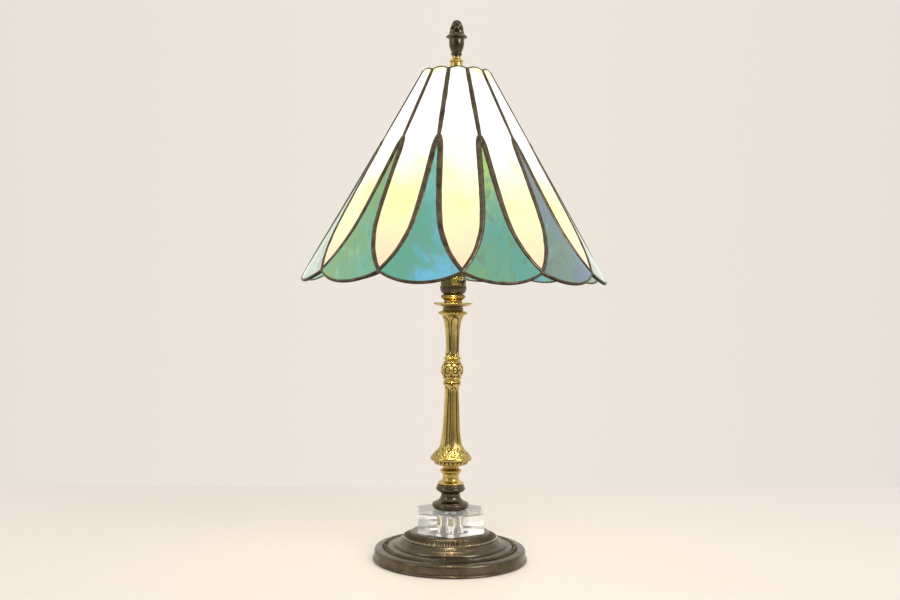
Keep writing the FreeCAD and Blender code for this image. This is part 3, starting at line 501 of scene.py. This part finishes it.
def finish_cad_nodes():
    """Gives every carried-over CAD node but the lower panes its material."""
    for node, material in CAD_FINISH.items():
        paint(node, material)


def bead(distance, width):
    """Rounded ridge profile across a line, 1 on the line and 0 beyond its width."""
    return np.exp(-(distance / width) ** 2)


def nearest(angles, count, first):
    """Signed angle from each direction to the nearest of evenly spaced ones."""
    pitch = 2 * math.pi / count
    turns = (angles - math.radians(first)) / pitch
    return (turns - np.round(turns)) * pitch


STEM_HOLE = 5.15
LANCETS = 5
LANCET_AZIMUTH = 15.0
CABOCHONS = 8
CABOCHON_AZIMUTH = 17.5
KNOB_AZIMUTH = 32.0


# ---------------------------------------------------------------- foot

RIB_COUNT = 104
RIB_INNER = 50.0
RIB_OUTER = 58.0
BEAD_RADIUS = 59.2
BEAD_HEIGHT = 29.6
ROPE_RADIUS = 83.1
ROPE_HEIGHT = 16.0


def foot_relief(angles, height, radius):
    """Radial ribs below the plateau."""
    if not RIB_INNER < radius < RIB_OUTER or height < 28.5:
        return 0.0, 0.0
    band = math.sin(math.pi * (radius - RIB_INNER) / (RIB_OUTER - RIB_INNER)) ** 0.4
    wave = 0.5 + 0.5 * np.cos(RIB_COUNT * angles)
    # The second value is painted shade between the ribs.
    return 1.15 * band * (wave - 0.5), 0.9 * band * (1 - wave)


def foot():
    """Spun foot: wall with a thin lip, stepped shoulders, ribbed band and plateau."""
    section = outline(
        (96.0, 1.5), (98.3, 1.5), [(98.75, 2.1), (98.3, 2.8)], (97.3, 3.3), (97.05, 4.0), (96.75, 12.0),
        [(96.6, 13.2), (95.6, 14.6), (94.0, 15.3)], (93.4, 15.1), (86.4, 16.1), (86.1, 15.7), (80.2, 15.9),
        (79.8, 17.5), (72.6, 19.0), (72.2, 18.7),
        [(72.0, 20.2), (70.6, 21.9), (68.6, 22.6)], (67.2, 22.2), (66.6, 22.9),
        [(65.4, 23.6), (64.0, 24.8), (63.2, 26.0)], (62.6, 26.4), (60.6, 27.2), (60.0, 28.0),
        [(57.0, 29.6), (54.2, 31.6), (51.6, 34.0), (49.8, 35.2)], [(48.9, 36.3), (47.8, 36.6)],
        (STEM_HOLE, 36.6), (STEM_HOLE, 34.2), (44.0, 34.2), (57.0, 28.0), (64.5, 20.0), (93.0, 12.0),
        (94.4, 9.0), step=0.9)
    piece = lathe("foot_shell", section, "stand", BRONZE, segments=RIB_COUNT * 7, relief=foot_relief)
    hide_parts("foot")


def foot_rope():
    """Cast rope ring, a row of slanting strands round the foot."""
    strands, sides = 270, 14
    steps = strands * 6
    angles = np.linspace(0, 2 * math.pi, steps, endpoint=False)
    points, painted_shade = [], []
    for side in range(sides):
        turn = 2 * math.pi * side / sides
        twist = np.cos(strands * angles + 2.6 * math.sin(turn))
        thick = 1.75 + 0.36 * twist
        radius = ROPE_RADIUS + thick * 1.45 * math.cos(turn)
        points.append(ring(radius, angles, ROPE_HEIGHT + thick * math.sin(turn) * 1.1))
        # Painted shade in the grooves between the strands.
        painted_shade.append((0.5 - 0.5 * twist) ** 1.2)
    faces = grid_faces(sides, steps, wrap_rows=True)
    piece = make_piece("foot_rope_ring", np.concatenate(points), faces, "stand", BRONZE,
                       np.concatenate(painted_shade), 60)


def foot_beads():
    """Row of cast beads at the foot of the ribs."""
    batch = Batch()
    for centre in ring(BEAD_RADIUS, 2 * math.pi * np.arange(RIB_COUNT) / RIB_COUNT, BEAD_HEIGHT):
        points, faces, _ = dome_ball(centre, (1.1, 1.1, 1.3), np.eye(3), 6, 10)
        batch.add(points, faces, np.zeros(len(points)))
    # The beads take the lighter bronze as a painted highlight.
    piece = batch.piece("foot_bead_row", "stand", HIGHLIGHT_BRONZE)


# ---------------------------------------------------------------- stem stack

def knop():
    """Dark bronze knop between the crystal and the brass."""
    section = outline((17.6, 0.0), (18.6, 0.2), [(21.4, 1.5), (23.1, 3.8), (23.3, 6.0)],
                      [(22.9, 7.7), (21.8, 8.7), (20.6, 9.1)], (20.0, 8.9), (19.6, 9.6),
                      [(16.4, 11.2), (13.9, 13.6), (12.5, 16.6), (12.2, 19.6), (12.7, 21.4)],
                      (13.6, 21.7), (13.9, 22.3), (15.2, 22.8), [(17.6, 24.2), (18.7, 26.4), (18.1, 28.8)],
                      (17.2, 29.4), [(17.3, 30.8), (16.5, 32.0)], (16.0, 32.2))
    turned("bronze_knop", "knop", bored(section, STEM_HOLE), BRONZE)


def spool():
    """Brass spool: flange, waist, sharp ring and neck under the column."""
    section = outline((15.2, 0.0), (15.8, 0.3), [(16.4, 1.4), (16.0, 2.6), (15.0, 3.2)], (13.9, 3.4),
                      [(11.8, 4.8), (10.6, 7.4), (10.3, 10.4), (10.8, 13.2), (11.6, 14.4)], (12.4, 14.6),
                      [(13.2, 15.6), (13.95, 17.6)], (14.0, 17.9), [(13.0, 18.8), (11.4, 19.8), (10.2, 21.0)],
                      (9.6, 21.6), (9.8, 22.4), (10.6, 23.0), (10.6, 24.4), (9.6, 25.2))
    turned("spool", "brass_spool", bored(section, STEM_HOLE), BRASS)


def lancet_relief(angles, height, radius, bottom, top, width):
    """Tall panels, each drawn by a sunk line with painted shade in it between two beads, with seams where
    there is room.
    """
    arch, foot_length = 1.25, 1.6
    offset = nearest(angles, LANCETS, LANCET_AZIMUTH)
    across = np.abs(offset) * radius
    room = math.pi / LANCETS * radius - width
    edge = across - width
    if height > top - arch * width:
        edge = np.hypot(across, (height - (top - arch * width)) / arch) - width
    elif height < bottom + foot_length * width:
        edge = np.hypot(across, (bottom + foot_length * width - height) / foot_length) - width
    sunk = bead(edge, 0.56)
    seam = bead(across - width - room, 0.36) * min(max((room - 1.9) / 0.8, 0.0), 1.0) * np.clip(edge, 0, 1)
    panel = np.clip(-edge - 1.6, 0.0, 1.0) * np.cos(np.clip(across / width, 0, 1) * math.pi / 2)
    beads = 0.34 * bead(edge - 1.15, 0.55) + 0.20 * bead(edge + 1.2, 0.5)
    rise = beads + 0.18 * panel - 0.62 * sunk - 0.32 * seam
    # The second value is painted shade in the sunk lines and seams.
    return rise, np.clip(1.05 * sunk + 0.8 * seam, 0, 1)


def foliage(angles, height, radius):
    """Cast scrolls and leaves: how far each point lies inside a leaf, from 0 on its outline."""
    out = np.zeros_like(angles)
    for n, angle in enumerate(angles):
        place = Vector((radius * math.cos(angle), radius * math.sin(angle), height * 1.1))
        curl = noise.noise(place * 0.20) * 2.4
        out[n] = abs(noise.noise(place * 0.27 + Vector((curl, 3.7, -curl))))
    return np.clip(out / 0.20, 0.0, 1.0)


def lower_column_relief(angles, height, radius):
    """Lancets up the shaft, leaves round the flare, and notches under its edge."""
    rise = np.zeros_like(angles)
    dark = np.zeros_like(angles)
    shaft_bottom, leaf_bottom, leaf_top, notch_bottom, notch_top = 22.0, 11.0, 24.0, 2.2, 5.0
    if height > shaft_bottom and radius > 8.0:
        fade = min(1.0, (height - shaft_bottom) / 6.0)
        width = 4.25 + 0.0018 * max(0.0, 72.0 - height) ** 1.75
        rise, dark = lancet_relief(angles, height, radius, bottom=-40.0, top=98.6, width=width)
        rise, dark = rise * fade, dark * fade
    if leaf_bottom < height < leaf_top and radius > 11.0:
        fade = min(1.0, (height - leaf_bottom) / 0.8, (leaf_top - height) / 3.0)
        leaf = foliage(angles, height, radius)
        rise += fade * (0.75 * leaf ** 0.7 - 0.35)
        dark += fade * np.clip(1.35 - 2.3 * leaf, 0.0, 1.0)
    if notch_bottom < height < notch_top and radius > 20.0:
        notch = np.clip(4.0 * np.cos(25 * angles) + 1.8, -1, 1)
        band = min(1.0, (height - notch_bottom) / 0.5, (notch_top - height) / 0.4)
        rise += 0.45 * band * notch
        dark += 0.95 * band * (0.5 - 0.5 * notch)
    # The second value is painted shade in the lancets' lines, between the leaves and in the notches.
    return rise, np.clip(dark, 0, 1)


def lower_column():
    """Long brass shaft with lancets, opening into a leafy flare."""
    section = outline((13.0, 0.0), (19.2, 0.3), (20.6, 0.9), (21.2, 1.5), (21.6, 4.4), (22.4, 4.9),
                      (23.6, 5.2), [(25.8, 6.3), (26.6, 8.2), (26.0, 10.2), (24.9, 11.0)], (24.3, 11.4),
                      [(21.9, 14.2), (18.6, 17.6), (16.0, 20.8), (14.2, 25.0), (12.7, 31.0), (11.4, 40.0),
                       (10.5, 52.0), (9.8, 66.0), (9.1, 84.0), (8.7, 93.0), (8.8, 97.4), (9.6, 100.4)],
                      (10.6, 101.9), (11.6, 103.4), (11.4, 103.6), step=0.5)
    turned("lower_column", "column_lower", bored(section, STEM_HOLE), BRASS,
           segments=480, relief=lower_column_relief, sharp=48)


def knot_relief(angles, height, radius):
    """Oval cabochons in raised rims round the knot."""
    middle, half_height, half_width = 17.6, 6.2, 3.9
    if abs(height - middle) > 9.0 or radius < 9.0:
        return 0.0, 0.0
    offset = nearest(angles, CABOCHONS, CABOCHON_AZIMUTH)
    ellipse = np.sqrt((offset * radius / half_width) ** 2 + ((height - middle) / half_height) ** 2)
    rim = bead((ellipse - 1.0) * 4.2, 0.75)
    stone = np.clip(1.0 - (ellipse / 0.50) ** 2, 0.0, 1.0) ** 0.5
    moat = bead((ellipse - 0.70) * 4.2, 0.62)
    field = np.clip((ellipse - 1.22) * 4.0, 0.0, 1.0)
    rise = 0.55 * rim + 0.60 * stone - 0.45 * moat - 0.55 * field
    # The second value is painted shade in the moat round each stone and on the field between them.
    return rise, np.clip(0.9 * moat + 0.6 * field, 0, 1)


def knot():
    """Jewelled knot between the two columns."""
    section = outline((9.6, 0.0), (10.2, 0.6), (12.0, 1.9), (11.0, 3.1), (9.9, 3.9), (9.9, 5.2), (11.0, 5.6),
                      [(11.9, 6.6), (11.5, 7.9)],
                      [(12.8, 11.0), (13.6, 15.0), (13.5, 19.4), (12.6, 23.4), (11.2, 26.4)],
                      [(11.6, 27.6), (10.6, 28.6)], (9.8, 29.1), (9.8, 30.6), (10.8, 31.2), (11.6, 32.2),
                      (10.4, 33.4), (9.3, 34.4), (9.0, 36.6), step=0.3)
    turned("jewelled_knot", "column_knot", bored(section, STEM_HOLE), BRASS,
           segments=384, relief=knot_relief, sharp=50)


def upper_column_relief(angles, height, radius):
    """Lancets on the slim upper shaft, arched into its flare."""
    rim_bottom, inner_face = 51.0, 7.5
    if height > rim_bottom or radius < inner_face:
        return 0.0, 0.0
    return lancet_relief(angles, height, radius, bottom=0.4, top=48.6, width=4.5)


def upper_column():
    """Slim upper shaft with lancets and a flared rim."""
    section = outline((8.8, 0.0),
                      [(8.5, 3.0), (8.4, 9.0), (8.6, 20.0), (9.1, 30.0), (10.0, 39.0), (11.4, 45.0)],
                      [(13.0, 48.4), (15.6, 50.8)], (17.2, 51.6), [(18.6, 52.4), (18.9, 53.6), (18.2, 54.6)],
                      (17.0, 55.0), (15.6, 55.4), (15.2, 56.0), step=0.4)
    turned("upper_column", "column_upper", bored(section, STEM_HOLE), OLIVE_BRASS,
           segments=384, relief=upper_column_relief, sharp=48)


def pan_and_neck():
    """Collar, thin drip pan and beaded neck under the lampholder."""
    collar = outline((12.4, 0.0), [(13.3, 1.0), (13.5, 2.6), (13.0, 4.2)], (12.2, 4.6), (12.2, 5.6), step=0.4)
    # The collar takes the darker brass as painted shade under the drip pan.
    turned("pan_collar", "pan_seat", bored(collar, STEM_HOLE), DARK_BRASS)
    dish = outline((12.8, 0.0), [(17.0, 0.4), (21.4, 1.6), (24.0, 3.2)],
                   [(25.0, 3.6), (25.2, 4.3), (24.6, 4.7)], (23.8, 4.3),
                   [(21.6, 3.6), (17.6, 2.8), (14.6, 2.2)], (13.2, 1.2), step=0.4)
    turned("drip_dish", "drip_pan", bored(dish, STEM_HOLE), OLIVE_BRASS, segments=192)
    neck = outline((12.2, 0.0), (12.7, 0.3), [(12.9, 2.0), (12.2, 3.8), (11.6, 5.6), (11.9, 7.4)],
                   (12.6, 8.0), (13.4, 8.6), [(15.0, 9.6), (15.7, 11.3), (15.1, 13.0), (13.6, 13.9)],
                   (12.8, 14.1), (12.4, 15.0), step=0.4)
    turned("beaded_neck", "socket_neck", bored(neck, STEM_HOLE), NECK_BRASS)


# ---------------------------------------------------------------- lampholder

def shell_relief(angles, height, radius):
    """Rolled thread ridges above the switch."""
    outer_face, thread_bottom, thread_top, pitch = 16.0, 24.0, 37.0, 2.1
    if radius < outer_face or not thread_bottom < height < thread_top:
        return 0.0, 0.0
    ridge = np.cos(2 * math.pi * height / pitch + angles)
    # The second value is painted shade in the thread grooves.
    return 0.32 * ridge, 0.8 * np.clip(-ridge, 0, 1)


def lampholder():
    """Bell cap and the thin brass shell that snaps into it."""
    cap = outline((12.4, 0.0), (13.0, 0.1), [(14.4, 0.9), (15.9, 3.0), (16.7, 5.8)], (16.95, 6.4),
                  (17.0, 8.9), [(16.9, 9.4), (16.6, 9.5)], (16.32, 9.4), (16.32, 5.4),
                  [(14.6, 2.8), (11.8, 1.1)], step=0.35)
    turned("bell_cap", "socket_cap", bored(cap, STEM_HOLE), BRONZE, segments=160)
    tall = high_z("socket_shell") - low_z("socket_shell")
    shell = outline((15.75, 0.0), (16.25, 0.0), (16.25, tall - 0.8), [(16.3, tall - 0.2), (16.0, tall)],
                    (15.75, tall - 0.3), (15.75, 0.3), step=0.3)
    turned("rolled_shell", "socket_shell", shell, DARK_BRASS,
           segments=256, relief=shell_relief, sharp=50)


def switch_plate():
    """Gold plate round the switch, with a sunk line inside its border."""
    rows, columns = 36, 96
    low, high = 350.9, 361.7
    left, right = -3.5, 20.5
    front_radius, back_radius, bend_radius = 16.90, 16.28, 16.3
    across = np.linspace(left, right, columns)
    points, painted_shade = [], []
    for radius in (front_radius, back_radius):
        for height in np.linspace(low, high, rows):
            inside = np.minimum(np.minimum(across - left, right - across), min(height - low, high - height))
            line, edge = np.zeros(columns), np.zeros(columns)
            if radius == front_radius:
                line, edge = bead(inside - 1.5, 0.45), np.clip(1 - inside / 0.5, 0, 1)
            points.append(ring(radius - 0.32 * line - 0.3 * edge, across / bend_radius, height))
            # Painted shade in the sunk line and along the border.
            painted_shade.append(np.clip(line + np.clip(0.6 - inside, 0, 1), 0, 1))
    layer = rows * columns
    faces = [face for face in grid_faces(rows, columns) if max(face) - min(face) <= columns + 1]
    faces += [tuple(reversed([v + layer for v in face])) for face in faces]
    rim = [(r, 0) for r in range(rows)] + [(rows - 1, c) for c in range(1, columns)]
    rim += [(r, columns - 1) for r in range(rows - 2, -1, -1)] + [(0, c) for c in range(columns - 2, 0, -1)]
    rim = [r * columns + c for r, c in rim]
    faces += [(here, after, after + layer, here + layer) for here, after in zip(rim, rim[1:] + rim[:1])]
    piece = make_piece("switch_plate", np.concatenate(points), faces, "stand", BRASS,
                       np.concatenate(painted_shade), 60)


def key_relief(angles, height, radius):
    """Four finger lobes round the key."""
    if radius < 2.2:
        return 0.0, 0.0
    grip = math.sin(math.pi * min(max((height - 1.4) / 5.2, 0.0), 1.0)) ** 0.5
    lobes = np.cos(4 * angles)
    # The second value is painted shade between the lobes.
    return 0.85 * grip * lobes, 0.75 * grip * np.clip(-lobes, 0, 1)


def switch_key():
    """Dark moulded turn key on the switch's spindle."""
    flatness, reach = 0.74, 18.2
    section = outline((1.75, 0.0), (2.5, 0.0), [(2.7, 0.5), (2.9, 1.0)], [(3.4, 1.5), (4.0, 2.2), (4.2, 3.4)],
                      [(4.1, 5.0), (3.4, 6.0), (2.2, 6.5), (0.01, 6.8)], (0.01, 4.4), (1.75, 4.3), step=0.3)
    points, faces, painted_shade = lathe_shape(section, 96, key_relief)
    points[:, 0] *= flatness
    level = (low_z("switch_shaft") + high_z("switch_shaft")) / 2
    azimuth = math.radians(KNOB_AZIMUTH)
    outward = Vector((math.sin(azimuth), -math.cos(azimuth), 0))
    turn = np.array(outward.to_track_quat("Z", "Y").to_matrix())
    points = points @ turn.T + np.array([outward.x * reach, outward.y * reach, level])
    piece = make_piece("lobed_key", points, faces, "switch_key", PHENOLIC, painted_shade, 50)
    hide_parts("switch_knob")


# ---------------------------------------------------------------- shade

PETALS = 12
PITCH_DEGREES = 360 / PETALS
HALF_PITCH = math.pi / PETALS
PETAL_AZIMUTH = 2.8
TOP_RADIUS = 44.2
TOP_Z = 618.5
SLOPE = 0.569
LEAN = math.atan(SLOPE)
FORK_DROP = 87.0
TIP_DROP = 249.8
SCALLOP_DEPTH = 14.3
TOP_ARCH = 3.4
MID_GLASS = -1.5  # from the glass's outer face to the middle of its thickness


def along(drop):
    """Distance down the slope for a drop in height."""
    return drop / math.cos(LEAN)


def cone_radius(drop):
    """Radius of the glass's outer face at a drop below the top ring."""
    return TOP_RADIUS + SLOPE * drop


def on_cone(azimuth, across, down, offset=MID_GLASS):
    """Point of the cone, and its outward normal, over a place in the flat plane of one panel."""
    sine, cosine = math.sin(LEAN), math.cos(LEAN)
    step = 0.0
    for _ in range(8):
        x = across
        y = -TOP_RADIUS - down * sine - step * cosine
        z = TOP_Z - down * cosine + step * sine
        radius = math.hypot(x, y)
        miss = radius - cone_radius(TOP_Z - z) - offset / cosine
        step -= miss * cosine
    normal = np.array([x / radius * cosine, y / radius * cosine, sine])
    turn = math.radians(azimuth)
    spin = np.array([[math.cos(turn), -math.sin(turn), 0],
                     [math.sin(turn), math.cos(turn), 0],
                     [0, 0, 1]])
    return spin @ np.array([x, y, z]), spin @ normal


def arc_points(half_span, ends, middle, step):
    """Points of the circular arc from one side to the other, through a middle point at another level."""
    rise = middle - ends
    centre = (middle + ends) / 2 - half_span ** 2 / (2 * rise)
    radius = abs(middle - centre)
    sweep = 2 * math.atan2(half_span, (ends - centre) * math.copysign(1, rise))
    count = max(4, int(sweep * radius / step))
    places = [sweep * (n / count - 0.5) for n in range(count + 1)]
    return [(radius * math.sin(a), centre + math.copysign(radius, rise) * math.cos(a)) for a in places]


def came(batch, azimuth, flat_path, half_width, half_height, seed, offset=MID_GLASS):
    """Adds one rounded solder line that follows a flat path laid on the cone."""
    laid = [on_cone(azimuth, across, down, offset) for across, down in flat_path]
    path = np.array([point for point, _ in laid])
    normals = np.array([normal for _, normal in laid])
    batch.add(*solder_line(path, normals, half_width, half_height, seed))


def solder_drop(batch, azimuth, across, down, radii, offset):
    """Adds a flattened drop of solder where lines meet."""
    centre, normal = on_cone(azimuth, across, down, offset)
    side = np.cross([0, 0, 1], normal)
    side /= np.linalg.norm(side)
    batch.add(*dome_ball(centre, radii, np.array([side, np.cross(normal, side), normal]), 8, 16))


def came_network():
    """All solder lines of the shade: ribs, petal outlines, scalloped rim and arched top edge."""
    batch = Batch()
    step, rib_step, top_step = 1.8, 1.8, 1.2
    fork, tip = along(FORK_DROP), along(TIP_DROP)
    fork_across = cone_radius(FORK_DROP) * math.sin(HALF_PITCH) - 0.9
    side = smooth_through([(fork_across, fork), (22.6, along(95)), (22.6, along(104)), (23.2, along(118)),
                           (24.2, along(142)), (24.8, along(170)), (24.3, along(190)), (22.8, along(202.6)),
                           (19.7, along(214.6)), (15.2, along(226.6)), (8.7, along(238.2)), (0.0, tip)], step)
    below_fork = [y - fork for _, y in side]
    side_half = np.interp(below_fork, (0, 12, 60, 110, 150, 187), (3.4, 4.4, 4.3, 4.1, 3.6, 3.1))
    tip_radius = cone_radius(TIP_DROP)
    sag = tip_radius * (1 - math.cos(HALF_PITCH)) * math.sin(LEAN)
    scallop = arc_points(tip_radius * math.sin(HALF_PITCH), tip - sag, tip + SCALLOP_DEPTH, step)
    arch = arc_points(TOP_RADIUS * math.sin(HALF_PITCH), 0.0, -TOP_ARCH, top_step)
    rib = [(0.0, -0.6 + n * rib_step) for n in range(int(fork / rib_step) + 3)]
    rib_half = np.interp([y for _, y in rib], (0, 16, 60, 88, 102), (3.0, 3.6, 3.8, 3.5, 2.9))
    for number in range(PETALS):
        petal = PETAL_AZIMUTH + PITCH_DEGREES * number
        seam = petal + PITCH_DEGREES / 2
        came(batch, seam, rib, rib_half, 2.7, number * 7.1)
        for mirror in (-1, 1):
            came(batch, petal, [(mirror * x, y) for x, y in side], side_half, 2.75, number * 3.7 + mirror)
        came(batch, seam, scallop, 1.75, 2.35, number * 5.3)
        came(batch, petal, arch, 1.45, 2.2, number * 2.9)
        solder_drop(batch, seam, 0.0, fork + 6.5, (3.4, 7.0, 1.9), -0.15)
        solder_drop(batch, petal, 0.0, tip + 0.4, (3.0, 2.8, 2.0), -0.4)
        solder_drop(batch, seam, 0.0, 0.4, (2.6, 2.4, 2.0), -0.6)
    piece = batch.piece("came_network", "shade", CAME, 60)
    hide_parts("leading")


def paint_panes():
    """Each lower pane is cut from its own part of the streaky sheets."""
    green = linear(124, 168, 114)
    lime = linear(168, 200, 112)
    moss = linear(112, 142, 104)
    teal = linear(98, 164, 148)
    aqua = linear(126, 198, 184)
    sky = linear(108, 180, 202)
    deep = linear(92, 142, 136)
    slate = linear(106, 127, 152)
    smoke = linear(108, 128, 118)
    mist = linear(186, 200, 188)
    pale = linear(212, 220, 212)
    pearl = linear(160, 184, 172)
    # Left, right, upper, drift and wisp colours, and the lean of the streaks in degrees.
    sheets = {
        11: (green, linear(117, 172, 146), linear(140, 160, 100), linear(126, 174, 118), teal, 24),
        12: (linear(88, 162, 138), linear(104, 178, 208), linear(124, 190, 178), linear(94, 158, 128),
             linear(104, 152, 140), 38),
        1: (linear(112, 160, 116), linear(92, 156, 142), lime, linear(94, 158, 148),
            linear(110, 134, 96), -16),
        2: (linear(112, 140, 126), linear(106, 128, 148), linear(124, 128, 138), linear(112, 142, 140),
            smoke, -28),
        3: (mist, pearl, pale, pearl, smoke, 14),
        4: (green, moss, lime, teal, aqua, 22),
        5: (teal, sky, aqua, deep, slate, -26),
        6: (mist, teal, pearl, aqua, moss, 30),
        7: (moss, teal, lime, green, deep, -18),
        8: (slate, sky, aqua, teal, smoke, 20),
        9: (teal, green, mist, aqua, moss, -24),
        10: (pearl, mist, deep, pale, smoke, 26),
    }
    for number, sheet in sheets.items():
        azimuth = PETAL_AZIMUTH + PITCH_DEGREES * (number - 0.5)
        material = art_glass("art_glass_%02d" % number, azimuth, sheet, number * 0.173)
        paint("lower_pane_%02d" % number, material)


# ---------------------------------------------------------------- finial

def acorn_relief(angles, height, radius):
    """Overlapping scales on the acorn, and soft petals on its cup."""
    cup_bottom, cup_top, acorn_bottom = 6.5, 21.0, 27.0
    # The second values are painted shade between the scales and between the petals.
    if height > acorn_bottom and radius > 1.0:
        fade = min(1.0, (height - acorn_bottom) / 2.5, radius / 4.5)
        climb = 2 * math.pi * (height - acorn_bottom) / 8.4
        drift = 0.5 * np.sin(3 * angles + 0.5 * height)
        edge = np.abs(np.cos((5 * angles + climb + drift) / 2) * np.cos((5 * angles - climb) / 2))
        return 0.75 * fade * (edge - 0.4), fade * np.clip(1.0 - 3.0 * edge, 0, 1)
    if cup_bottom < height < cup_top:
        petals = np.abs(np.cos(4 * angles)) ** 0.6
        fade = math.sin(math.pi * (height - cup_bottom) / (cup_top - cup_bottom)) ** 0.5
        return 0.16 * fade * (petals - 0.6), 0.30 * fade * np.clip(0.5 - petals, 0, 1)
    return 0.0, 0.0


def finial():
    """Brass collar, and a dark cast finial: ringed neck, urn, skirt and acorn."""
    collar_hole, thread_hole = 5.1, 5.05
    collar = outline((8.8, 0.0), [(8.3, 4.0), (7.8, 7.4)], (7.6, 8.0), [(8.3, 8.8), (8.7, 9.9), (8.2, 11.0)],
                     (7.2, 11.4), (6.8, 12.0), [(5.8, 12.8), (5.4, 14.2)], (5.5, 15.4), step=0.3)
    turned("brass_collar", "finial_collar", bored(collar, collar_hole), BRASS,
           segments=96, body="finial_acorn")
    body = outline((5.2, 0.0), (5.5, 0.2), (5.5, 1.6), [(6.8, 2.2), (7.15, 3.4), (6.7, 4.4)],
                   (6.1, 4.9), [(6.9, 6.8), (8.2, 10.0), (9.2, 13.8), (9.6, 17.6), (9.4, 21.4)],
                   (9.8, 22.0), (10.0, 22.8), (11.2, 23.2), [(12.8, 23.9), (13.5, 24.8)], (13.3, 25.6),
                   [(11.8, 26.6), (10.4, 27.9), (9.5, 29.6)], (9.3, 30.0),
                   [(8.6, 33.4), (8.2, 36.2), (7.2, 39.6), (5.5, 42.9), (3.3, 45.4), (1.2, 46.3),
                    (0.01, 46.5)], (0.01, 5.0), (thread_hole, 5.0), (thread_hole, 0.2), step=0.35)
    turned("acorn_finial", "finial", body, BRONZE, segments=210, relief=acorn_relief,
           sharp=55, body="finial_acorn")


# ---------------------------------------------------------------- table, light and camera

def table_top():
    """Plain pale table with a rounded edge behind the lamp, painted greyer towards the back as shade."""
    shade = Shader("pale_table")
    away = shade.span(shade.axis(shade.position(), "Y"), 0.35, 1.10)
    mottle = shade.centred(shade.noise(3.0, 3.0), 0.3)
    tone = shade.mix(shade.math("ADD", away, mottle), (0.865, 0.805, 0.765, 1), (0.85, 0.845, 0.83, 1))
    shade.set(Base_Color=shade.darker(tone, (0.74, 0.74, 0.74)), Roughness=0.55,
              Emission_Color=tone, Emission_Strength=0.20)
    bpy.ops.mesh.primitive_cube_add(size=1)
    slab = bpy.context.object
    slab.name = "table_top"
    slab.dimensions = (3.4, 2.2, 0.04)
    slab.location = (0.065, -0.604, -0.0201)
    slab.rotation_euler = (0, 0, math.radians(3.4))
    bevel = slab.modifiers.new("edge", "BEVEL")
    bevel.width = 0.008
    bevel.segments = 4
    slab.data.materials.append(shade.material)


def studio_world():
    """Cream behind the lamp, dim behind the camera, bright above; the camera itself sees a pale wall."""
    world = bpy.data.worlds.new("studio")
    bpy.context.scene.world = world
    world.use_nodes = True
    sky = Nodes(world.node_tree)
    direction = sky.node("TexCoord").outputs["Generated"]
    depth = sky.span(sky.axis(direction, "Y"), -0.75, 0.25)
    height = sky.span(sky.axis(direction, "Z"), 0.25, 0.9)
    aside = sky.math("ABSOLUTE", sky.axis(direction, "X"))
    around = sky.mix(depth, (0.20, 0.175, 0.15, 1), (0.90, 0.83, 0.75, 1))
    above = sky.mix(height, around, (0.95, 0.92, 0.88, 1))
    # The wall the camera sees is painted a little lighter behind the lamp and darker towards the sides:
    # painted light and shade.
    wall = sky.mix(sky.span(aside, 0.02, 0.38), linear(239, 231, 221), linear(231, 225, 217))
    seen = sky.mix(sky.node("LightPath").outputs["Is Camera Ray"], above, wall)
    sky.feed(world.node_tree.nodes["Background"].inputs["Color"], seen)


def area_light(name, place, target, size, power, colour):
    """Soft rectangular light aimed at a point."""
    data = bpy.data.lights.new(name, "AREA")
    data.shape = "RECTANGLE"
    data.size, data.size_y = size
    data.energy = power
    data.color = colour
    light = bpy.data.objects.new(name, data)
    bpy.context.scene.collection.objects.link(light)
    light.location = place
    light.rotation_euler = (Vector(target) - Vector(place)).to_track_quat("-Z", "Y").to_euler()


def lights():
    """Window to the upper right, a weak fill from the left, and the lamp's own bulb."""
    area_light("window", place=(1.35, -1.25, 1.35), target=(0, 0, 0.35), size=(0.8, 1.1), power=17.0,
               colour=(1.0, 0.98, 0.95))
    area_light("fill", place=(-1.5, -0.9, 0.9), target=(0, 0, 0.3), size=(0.5, 1.0), power=4.5,
               colour=(1.0, 0.95, 0.88))
    glow = bpy.data.lights.new("bulb_glow", "POINT")
    glow.energy = 2.2
    glow.color = (1.0, 0.86, 0.62)
    glow.shadow_soft_size = 0.02
    bulb = bpy.data.objects.new("bulb_glow", glow)
    bpy.context.scene.collection.objects.link(bulb)
    bulb.location = (0, -0.045, 0.452)


def camera():
    """Long-lens view from just above the rim of the shade, slightly rolled."""
    look_down, roll = 1.41, 0.77
    data = bpy.data.cameras.new("camera")
    data.sensor_width = 36
    data.lens = 45.5
    made = bpy.data.objects.new("camera", data)
    bpy.context.scene.collection.objects.link(made)
    look = Matrix.Rotation(math.radians(90 - look_down), 4, "X") @ Matrix.Rotation(math.radians(roll), 4, "Z")
    made.matrix_world = Matrix.Translation((-0.004, -1.45, 0.3676)) @ look
    bpy.context.scene.camera = made


foot()
foot_rope()
foot_beads()
knop()
spool()
lower_column()
knot()
upper_column()
pan_and_neck()
lampholder()
switch_plate()
switch_key()
came_network()
paint_panes()
finial()
finish_cad_nodes()
table_top()
studio_world()
lights()
camera()
bpy.context.scene.view_settings.view_transform = "Standard"
